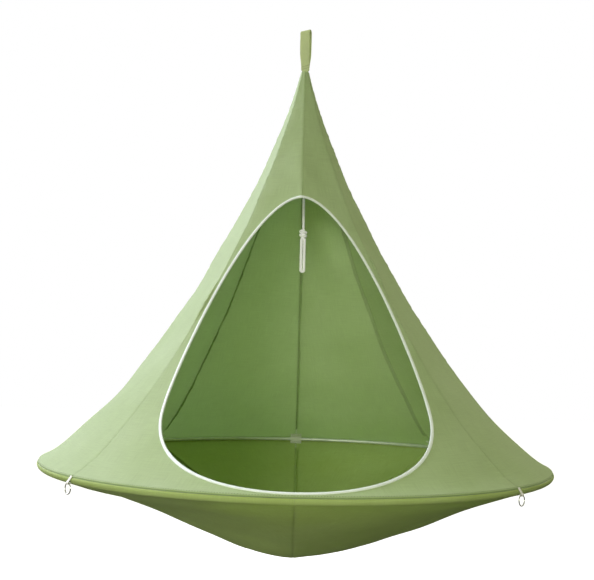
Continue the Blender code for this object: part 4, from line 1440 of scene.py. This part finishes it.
@dataclass(frozen=True)
class HangLoop:
    """Folded webbing loop, pinched into the neck and held there by a bar of stitching."""

    form: ConeForm
    webbing: bpy.types.Material
    thread: bpy.types.Material
    thickness: float = 1.4 * MM
    width: float = 20.5 * MM
    foot_width: float = 11.0 * MM
    stitch_width: float = 18.0 * MM
    pinch_height: float = 5.5 * MM
    stitch_height: float = 12.0 * MM
    opening: float = 12.0 * MM
    parting: float = 58.0 * MM
    spreading: float = 33.0 * MM
    skew: float = 4.0 * MM
    crown_slant: float = 0.26
    crown_depth: float = 25.0 * MM
    fold: float = 0.9 * MM
    leg_points: int = 46
    sewing: Stitch = Stitch(2.4 * MM, 0.55 * MM)
    # Rows of stitches: the lower end of each, from halfway between the bar and the neck's edge, and its
    # rise.
    stitch_rows: tuple[tuple[float, float], ...] = ((8.5 * MM, 5.0 * MM), (13.5 * MM, 6.0 * MM))
    bar_radius: float = 1.0 * MM
    bar_depth: float = 4.0 * MM
    clearance: float = 0.3 * MM

    @property
    def foot_z(self) -> float:
        """World height of the bar of stitching."""
        return self.form.rim_z + self.form.cone_height - self.bar_depth

    def line(self) -> np.ndarray:
        """Middle line of the webbing as (y, height over the bar), up the back leg and down the front."""
        grow = self.thickness / 2
        foot = self.bar_radius + self.clearance + grow
        half_opening = self.opening / 2 + grow
        crown = -self.foot_z - self.opening / 2
        heights = np.linspace(0.0, crown, self.leg_points)
        apart = smooth_step((heights - self.pinch_height) / self.parting)
        leg = np.stack([foot + (half_opening - foot) * apart, heights], axis=-1)
        top = arc(np.array((0.0, crown)), half_opening, 0.0, 180.0, 16)[1:-1]
        bottom = arc(np.array((0.0, 0.0)), foot, 180.0, 360.0, 12)[1:-1]
        return np.concatenate([leg, top, leg[::-1] * (-1.0, 1.0), bottom])

    def widths(self, height: np.ndarray) -> np.ndarray:
        """Width of the webbing at heights over the bar."""
        release = smooth_step((height - self.pinch_height) / (self.stitch_height - self.pinch_height))
        spread = smooth_step((height - self.stitch_height) / self.spreading)
        width = self.foot_width + (self.stitch_width - self.foot_width) * release
        return width + (self.width - self.stitch_width) * spread

    def build(self) -> None:
        """Make the loop, its stitches and the bar in the neck."""
        line = self.line()
        y, height = line[:, 0], line[:, 1]
        crown = -self.foot_z
        along = unit(np.roll(line, -1, axis=0) - np.roll(line, 1, axis=0))
        normal = np.stack([np.zeros(len(line)), along[:, 1], -along[:, 0]], axis=-1)
        width = self.widths(height)
        slack = (self.width - width) / self.width
        spread = smooth_step((height - self.stitch_height) / self.spreading)
        skew = self.skew * spread * y / self.opening
        slant = self.crown_slant * smooth_step(1.0 - (crown - height) / self.crown_depth)
        section = soft_box_section(1.0, self.thickness, 44, 5.0)
        rings = []
        for k in range(len(line)):
            x = section[:, 0] * width[k]
            # Narrowed webbing buckles into a shallow fold along its middle.
            fold = self.fold * slack[k] * np.cos(2 * np.pi * section[:, 0] * 1.5)
            selvedge = 1.0 - 0.25 * smooth_step((np.abs(section[:, 0]) - 0.40) / 0.08)
            out = section[:, 1] * selvedge + fold
            level = self.foot_z + height[k] + slant[k] * x
            ring = np.stack([x + skew[k], np.full(len(x), y[k]), level], axis=-1)
            rings.append(ring + normal[k] * out[:, None])
        draft = Draft()
        draft.sweep(np.array(rings), cyclic=True)
        report(draft.finish("webbing_loop", self.webbing, TAPE_CREASE), Body.LOOP,
               ("hang_loop",))
        stitches = Draft()
        self.stitch(stitches)
        report(stitches.finish("loop_stitches", self.thread), Body.LOOP)
        self.build_bar()

    def stitch(self, draft: Draft) -> None:
        """Slanting rows of dark stitches where the loop's two ends are sewn together above the neck."""
        leg = self.line()[:self.leg_points]
        for side in (1, -1):
            for low, rise in self.stitch_rows:
                for share in np.linspace(-0.38, 0.38, 6):
                    height = low + self.bar_depth / 2 + rise * (share + 0.5)
                    y = np.interp(height, leg[:, 1], leg[:, 0]) + self.thickness / 2
                    x = share * self.widths(np.array(height))
                    place = np.array([[x, side * y, self.foot_z + height]])
                    way = np.array([[self.width, 0.0, rise]])
                    draft.stitches(place, way, np.array([[0.0, side, 0.0]]), self.sewing)

    def build_bar(self) -> None:
        """The bar of stitching, wound from thread."""
        half = (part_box("neck_bartack")[1].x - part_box("neck_bartack")[0].x) / 2
        x = np.linspace(-half, half, 90)
        path = np.stack([x, np.zeros(len(x)), np.full(len(x), self.foot_z)], axis=-1)
        first = np.broadcast_to((0.0, 1.0, 0.0), path.shape)
        second = np.broadcast_to(UP, path.shape)
        swell = self.bar_radius * (0.88 + 0.12 * np.abs(np.sin(np.pi * x / (0.9 * MM))))
        section = round_section(1.0, 16)[None] * swell[:, None, None]
        draft = Draft()
        draft.sweep(rings_along(path, first, second, section))
        report(draft.finish("wound_bartack", self.thread, YARN_CREASE), Body.POD,
               ("neck_bartack",))


@dataclass(frozen=True)
class PullCord:
    """Twisted cotton cord inside the cone, with its knot and the doubled loop below it."""

    form: ConeForm
    yarn: bpy.types.Material
    radius: float = 3.0 * MM
    lean: float = 4.5 * MM
    knot_drop: float = 0.354
    knot_height: float = 24.0 * MM
    loop_length: float = 83.0 * MM
    strand_gap: float = 0.6 * MM
    top_drop: float = 7.0 * MM
    # Three strands, each going once round in this length.
    lay: float = 21.0 * MM
    strands: int = 3
    sides: int = 30
    leg_points: int = 28
    core_points: int = 12

    def rope_rings(self, path: np.ndarray, start: np.ndarray) -> np.ndarray:
        """Rings of a twisted rope along a path."""
        first, second = path_frames(path, start)
        along = lengths_along(path)
        angles = np.arange(self.sides) * 2 * np.pi / self.sides
        turn = 2 * np.pi * along[:, None] / self.lay
        lobes = np.abs(np.sin((angles[None, :] - turn) * self.strands / 2))
        radius = self.radius * (0.80 + 0.20 * lobes ** 0.7)
        section = radius[..., None] * np.stack([np.cos(angles), np.sin(angles)], axis=-1)[None]
        return rings_along(path, first, second, section)

    def build(self) -> None:
        form = self.form
        knot = form.cone_height - self.knot_drop
        top = UP * (form.rim_z + form.cone_height - self.top_drop)
        end = np.array((self.lean, 0.0, form.rim_z + knot + self.knot_height / 2 + 0.3 * MM))
        share = np.linspace(0.0, 1.0, 170)[:, None]
        path = top + (end - top) * share
        draft = Draft()
        draft.sweep(self.rope_rings(path, np.array((1.0, 0.0, 0.0))))
        cord = self.piece(draft, "pull_cord_strand", "pull_cord")
        knotted = self.build_knot(form.rim_z + knot)
        loop = self.build_loop(form.rim_z + knot)

    def piece(self, draft: Draft, name: str, node: str) -> bpy.types.Object:
        """Finish a piece of cord, which stands for a node of the frame."""
        return report(draft.finish(name, self.yarn, YARN_CREASE), Body.CORD, (node,))

    def build_knot(self, middle_z: float) -> bpy.types.Object:
        """Two tight turns of cord round the doubled loop, their ends tucked in."""
        q = np.linspace(0.0, 1.0, 150)
        angle = 2 * np.pi * (2.35 * q + 0.15)
        tuck = smooth_step(np.minimum(q, 1.0 - q) / 0.13)
        reach = 1.6 * MM + 4.0 * MM * tuck
        drop = (self.knot_height / 2 - self.radius) * (1.0 - 2.0 * q)
        tilt = 1.6 * MM * np.sin(angle + 0.6)
        path = np.stack([self.lean + reach * np.cos(angle), reach * np.sin(angle) * 0.85,
                         middle_z + drop + tilt], axis=-1)
        draft = Draft()
        draft.sweep(self.rope_rings(path, UP))
        core_z = np.linspace(self.knot_height / 2 - 1.5 * MM, -self.knot_height / 2 + 1.0 * MM,
                             self.core_points)
        core = np.stack([np.full_like(core_z, self.lean), np.zeros_like(core_z), middle_z + core_z], axis=-1)
        draft.sweep(self.rope_rings(core, np.array((1.0, 0.0, 0.0))))
        return self.piece(draft, "cord_knot_turns", "cord_knot")

    def build_loop(self, middle_z: float) -> bpy.types.Object:
        """The doubled loop that is pulled."""
        turn = self.radius + self.strand_gap / 2
        low = middle_z - self.loop_length + self.radius + turn
        high = middle_z - self.knot_height / 2 + 2.0 * MM
        heights = np.linspace(high, low, self.leg_points)
        left = np.stack([np.full_like(heights, self.lean - turn), heights], axis=-1)
        bend = arc(np.array((self.lean, low)), turn, 180.0, 360.0, 16)[1:-1]
        right = np.stack([np.full_like(heights, self.lean + turn), heights[::-1]], axis=-1)
        flat = np.concatenate([left, bend, right])
        path = np.stack([flat[:, 0], np.zeros(len(flat)), flat[:, 1]], axis=-1)
        draft = Draft()
        draft.sweep(self.rope_rings(path, np.array((0.0, 1.0, 0.0))))
        return self.piece(draft, "cord_pull_loop", "cord_loop")


@dataclass(frozen=True)
class Tethers:
    """Folded tapes with steel rings at the two front seams."""

    form: ConeForm
    tape: bpy.types.Material
    steel: bpy.types.Material
    thread: bpy.types.Material
    width: float = 6.0 * MM
    thickness: float = 0.8 * MM
    reach: float = 8.5 * MM
    lean: float = 38.0
    start: float = 12.0
    leaves: float = 18.0
    eye_turn: float = 240.0
    ring_radius: float = 8.5 * MM
    wire: float = 0.9 * MM
    # Half the angle between the wire's two ends.
    wire_gap: float = 1.1
    clearance: float = 0.3 * MM
    sewing: Stitch = Stitch(1.3 * MM, 0.35 * MM)
    # Rows of stitches, as points of the tape's line.
    stitch_rows: tuple[int, ...] = (5, 21, 25)

    def line(self) -> tuple[np.ndarray, np.ndarray]:
        """Middle line of the tape and the middle of the eye, as (radius, height)."""
        form = self.form
        grow = self.thickness / 2
        over = arc(form.roll_centre, form.hem_roll + self.clearance + grow,
                   form.hem_seam_angle + self.start, self.leaves, 8)
        way = self.lean - 90.0
        sag = self.ring_radius - math.sqrt(self.ring_radius ** 2 - (self.width / 2) ** 2)
        eye_radius = self.wire + self.clearance + sag
        leave = over[-1] + self.reach * heading(way)
        straight = np.array([over[-1] + (leave - over[-1]) * share for share in (0.25, 0.5, 0.75, 1.0)])
        inner = form.roll_centre + (form.hem_roll + self.clearance) * heading(self.leaves) \
            + self.reach * heading(way)
        eye = inner + eye_radius * heading(way - 90.0)
        turn = arc(eye, eye_radius + grow, way + 90.0, way + 90.0 - self.eye_turn, 18)
        coarse = np.concatenate([over, straight[:-1], turn])
        return read_line(coarse, np.linspace(0.0, lengths_along(coarse)[-1], 56)), eye

    def build(self) -> None:
        """Make both tapes, their stitches and their rings."""
        line, eye = self.line()
        section = soft_box_section(self.width, self.thickness, 20, 4.0)
        stitches = Draft()
        for side, sign, body in (("right", 1, Body.RIGHT_RING), ("left", -1, Body.LEFT_RING)):
            azimuth = sign * GORE_ANGLE
            outward = outward_at(azimuth)
            level = tangent_at(azimuth)
            path = line[:, :1] * outward + (self.form.rim_z + line[:, 1:]) * UP
            along = unit(np.gradient(path, axis=0))
            across = np.broadcast_to(level, path.shape)
            normals = unit(np.cross(along, across))
            draft = Draft()
            draft.sweep(rings_along(path, across, normals, section))
            report(draft.finish(f"tether_{side}", self.tape, TAPE_CREASE), Body.POD,
                   (f"tether_tape_{side}",))
            for row in self.stitch_rows:
                places = path[row] + np.array((-1.6, 0.0, 1.6))[:, None] * MM * level
                ups = np.broadcast_to(normals[row] * np.sign(normals[row].dot(outward)), places.shape)
                ways = np.broadcast_to(level, places.shape)
                stitches.stitches(places + ups * self.thickness / 2, ways, ups, self.sewing)
            self.build_ring(side, body, eye[0] * outward + (self.form.rim_z + eye[1]) * UP, azimuth)
        report(stitches.finish("tether_stitches", self.thread), Body.POD)

    def build_ring(self, side: str, body: Body, eye: np.ndarray, azimuth: float) -> None:
        """One ring of bent wire, its butted ends at the bottom."""
        angles = np.radians(np.linspace(self.wire_gap - 90.0, 270.0 - self.wire_gap, 97))[:, None]
        first = np.cos(angles) * tangent_at(azimuth) + np.sin(angles) * UP
        path = eye - UP * self.ring_radius + self.ring_radius * first
        second = np.broadcast_to(outward_at(azimuth), path.shape)
        draft = Draft()
        draft.sweep(rings_along(path, first, second, round_section(self.wire, 16)))
        report(draft.finish(f"steel_ring_{side}", self.steel), body, (f"tether_ring_{side}",))


@dataclass(frozen=True)
class Lamp:
    """A round soft lamp, aimed at the middle of the cone."""

    name: str
    direction: tuple[float, float, float]
    distance: float
    size: float
    power: float
    colour: str

    def build(self, aim: Vector) -> None:
        """Make the lamp."""
        data = bpy.data.lights.new(self.name, "AREA")
        data.shape = "DISK"
        data.size = self.size
        data.energy = self.power
        data.color = linear(self.colour)[:3]
        lamp = add_object(self.name, data)
        way = Vector(self.direction).normalized()
        lamp.location = aim + way * self.distance
        lamp.rotation_euler = way.to_track_quat("Z", "Y").to_euler()


@dataclass(frozen=True)
class Studio:
    """Camera, soft lights, and a pale floor that shows white to the camera."""

    form: ConeForm
    focal_px: float = 749.4
    frame_px: float = 594.0
    sensor_mm: float = 36.0
    camera_place: tuple[float, float, float] = (0.0, -1.560, -0.7425)
    pitch: float = 6.40
    yaw: float = -0.2064
    roll: float = 1.4755
    floor_drop: float = 0.80
    floor_size: float = 40.0
    floor_glow: float = 0.80
    lamps: tuple[Lamp, ...] = (
        Lamp("key", (-0.88, 0.44, 0.70), 3.4, 2.2, 200.0, "#E2E0FF"),
        Lamp("front_fill", (-0.30, -0.93, 0.12), 3.4, 1.2, 43.0, "#FFFFFF"),
        Lamp("low_fill", (-0.05, -1.00, -0.10), 3.4, 1.2, 14.5, "#FFFFC8"),
        Lamp("back_fill", (0.75, 0.60, 0.30), 3.4, 2.2, 39.0, "#FFFFDC"),
    )
    sky_even: float = 0.35
    sky_above: float = 0.03
    sky_colour: str = "#FFFFE2"

    def build(self) -> None:
        """Make the stage."""
        self.build_camera()
        for lamp in self.lamps:
            lamp.build(Vector((0.0, 0.0, self.form.rim_z + 0.25)))
        self.build_world()
        self.build_floor()
        bpy.context.scene.view_settings.view_transform = "Standard"

    def build_camera(self) -> None:
        """The photograph's viewing angle, a little below the doorway's middle and looking up."""
        pitch, yaw, roll = (math.radians(angle) for angle in (self.pitch, self.yaw, self.roll))
        forward = Vector((math.sin(yaw) * math.cos(pitch), math.cos(yaw) * math.cos(pitch), math.sin(pitch)))
        level = Vector((math.cos(yaw), -math.sin(yaw), 0.0))
        upright = level.cross(forward)
        right = math.cos(roll) * level + math.sin(roll) * upright
        up = math.cos(roll) * upright - math.sin(roll) * level
        data = bpy.data.cameras.new("camera")
        data.sensor_width = self.sensor_mm
        data.lens = self.focal_px * self.sensor_mm / self.frame_px
        data.clip_start = 0.01
        camera = add_object("camera", data)
        turned = Matrix((right, up, -forward)).transposed().to_4x4()
        camera.matrix_world = Matrix.Translation(self.camera_place) @ turned
        bpy.context.scene.camera = camera

    def build_world(self) -> None:
        """An even sky, a little brighter above, that shows white to the camera."""
        world = bpy.data.worlds.new("studio")
        bpy.context.scene.world = world
        world.use_nodes = True
        tree = world.node_tree
        tree.nodes.clear()
        way = add_node(tree, "ShaderNodeTexCoord").outputs["Generated"]
        split = add_node(tree, "ShaderNodeSeparateXYZ", {}, {"Vector": way})
        strength = ranged(tree, split.outputs["Z"], 0.0, 1.0, self.sky_even, self.sky_even + self.sky_above)
        sky = add_node(tree, "ShaderNodeBackground", {},
                       {"Color": linear(self.sky_colour), "Strength": strength})
        white = add_node(tree, "ShaderNodeBackground", {}, {"Color": linear("#FFFFFF"), "Strength": 1.0})
        add_node(tree, "ShaderNodeOutputWorld", {},
                 {"Surface": self.seen_white(tree, sky.outputs[0], white.outputs[0])})

    @staticmethod
    def seen_white(tree: Tree, plain: Socket, white: Socket) -> Socket:
        """One shader for lighting, another for what the camera sees."""
        seen = add_node(tree, "ShaderNodeLightPath").outputs["Is Camera Ray"]
        return add_node(tree, "ShaderNodeMixShader", {}, {0: seen, 1: plain, 2: white}).outputs[0]

    def build_floor(self) -> None:
        """A wide floor well below the pouch."""
        material, tree = new_material("studio_floor")
        matt = add_node(tree, "ShaderNodeBsdfDiffuse", {}, {"Color": linear("#464645")})
        pale = add_node(tree, "ShaderNodeBsdfDiffuse", {}, {"Color": linear("#F2F2F2")})
        glow = add_node(tree, "ShaderNodeEmission", {},
                        {"Color": linear("#FFFFFF"), "Strength": self.floor_glow})
        lit = add_node(tree, "ShaderNodeAddShader", {}, {0: pale.outputs[0], 1: glow.outputs[0]})
        put_out(tree, self.seen_white(tree, matt.outputs[0], lit.outputs[0]))
        half = self.floor_size / 2
        mesh = bpy.data.meshes.new("floor")
        mesh.from_pydata([(-half, -half, 0.0), (half, -half, 0.0), (half, half, 0.0), (-half, half, 0.0)],
                         [], [(0, 1, 2, 3)])
        mesh.materials.append(material)
        floor = add_object("floor", mesh)
        floor.location.z = self.form.rim_z - self.form.pouch_depth - self.floor_drop


def main() -> None:
    """Build the studio and dress every piece of the hammock."""
    logging.basicConfig(level=logging.INFO, format="%(message)s")
    form = ConeForm.from_frame()
    Studio(form).build()

    canopy = WovenCloth("polyester_canvas_canopy", "#C1D3A0", "#B1C38F", "#7C9450", "#D4EAB6").build()
    # The pouch's colour is lighter and more saturated than the canopy's: painted light, making up for the
    # little lamp light that reaches the pouch. Its wide darkening along the hem is painted shade on the lit
    # rolled edge.
    pouch = WovenCloth("polyester_canvas_pouch", "#DCF0A0", "#CADE8E", "#7E9446", "#D6E68A", through=0.32,
                       seam_painted_shade=0.35, outside_seam=0.5,
                       hem_painted_shade=0.38, hem_shade_reach=22.0 * MM, sheen=0.05).build()
    keeper = RibbedTape("polyester_keeper_tape", "#F2F4E8", "#D2D8C0", rib=1.2 * MM).build()
    webbing = RibbedTape("polypropylene_webbing", "#CFDCA4", "#A0AF6E", rib=1.5 * MM, soiling=0.09).build()
    binding = RibbedTape("polyester_bias_binding", "#EEF6EC", "#C9D8C8", rib=1.1 * MM, roughness=0.5,
                         relief=0.12 * MM, soiling=0.02).build()
    cotton_tape = RibbedTape("cotton_twill_tape", "#FAF9F3", "#E0DDCF", rib=1.0 * MM, roughness=0.8).build()
    green_thread = SpunYarn("polyester_thread_green", "#66793D", "#3C4A20", bundle=0.5 * MM).build()
    dark_thread = SpunYarn("polyester_thread_dark", "#4C5A33", "#2C351C", bundle=0.5 * MM).build()
    white_thread = SpunYarn("polyester_thread_white", "#F1F5EE", "#C8D2C4", bundle=0.5 * MM).build()
    # The cotton cord is given a faint painted glow, which brightens it in the shade of the cone.
    cotton = SpunYarn("twisted_cotton_cord", "#FFFEF8", "#F4F2E8", sheen=1.0, painted_glow=0.16).build()
    aluminium = DrawnMetal("anodised_aluminium_tube", "#F1F3EF", "#DCE0DA", 0.56).build()
    plated = DrawnMetal("zinc_plated_steel", "#C2C5C4", "#9EA3A2", 0.38).build()
    steel = DrawnMetal("bright_steel_wire", "#ECEDED", "#CFD0D0", 0.24).build()

    PullCord(form, cotton).build()
    cloths = Cloths(form, canopy, pouch, green_thread)
    cloths.build()
    cloths.build_stitches()
    Doorway(form, binding, white_thread).build()
    Hoop(form, aluminium, plated).build()
    KeeperTabs(form, keeper, green_thread).build()
    HangLoop(form, webbing, dark_thread).build()
    Tethers(form, cotton_tape, steel, white_thread).build()


if __name__ == "__main__":
    main()
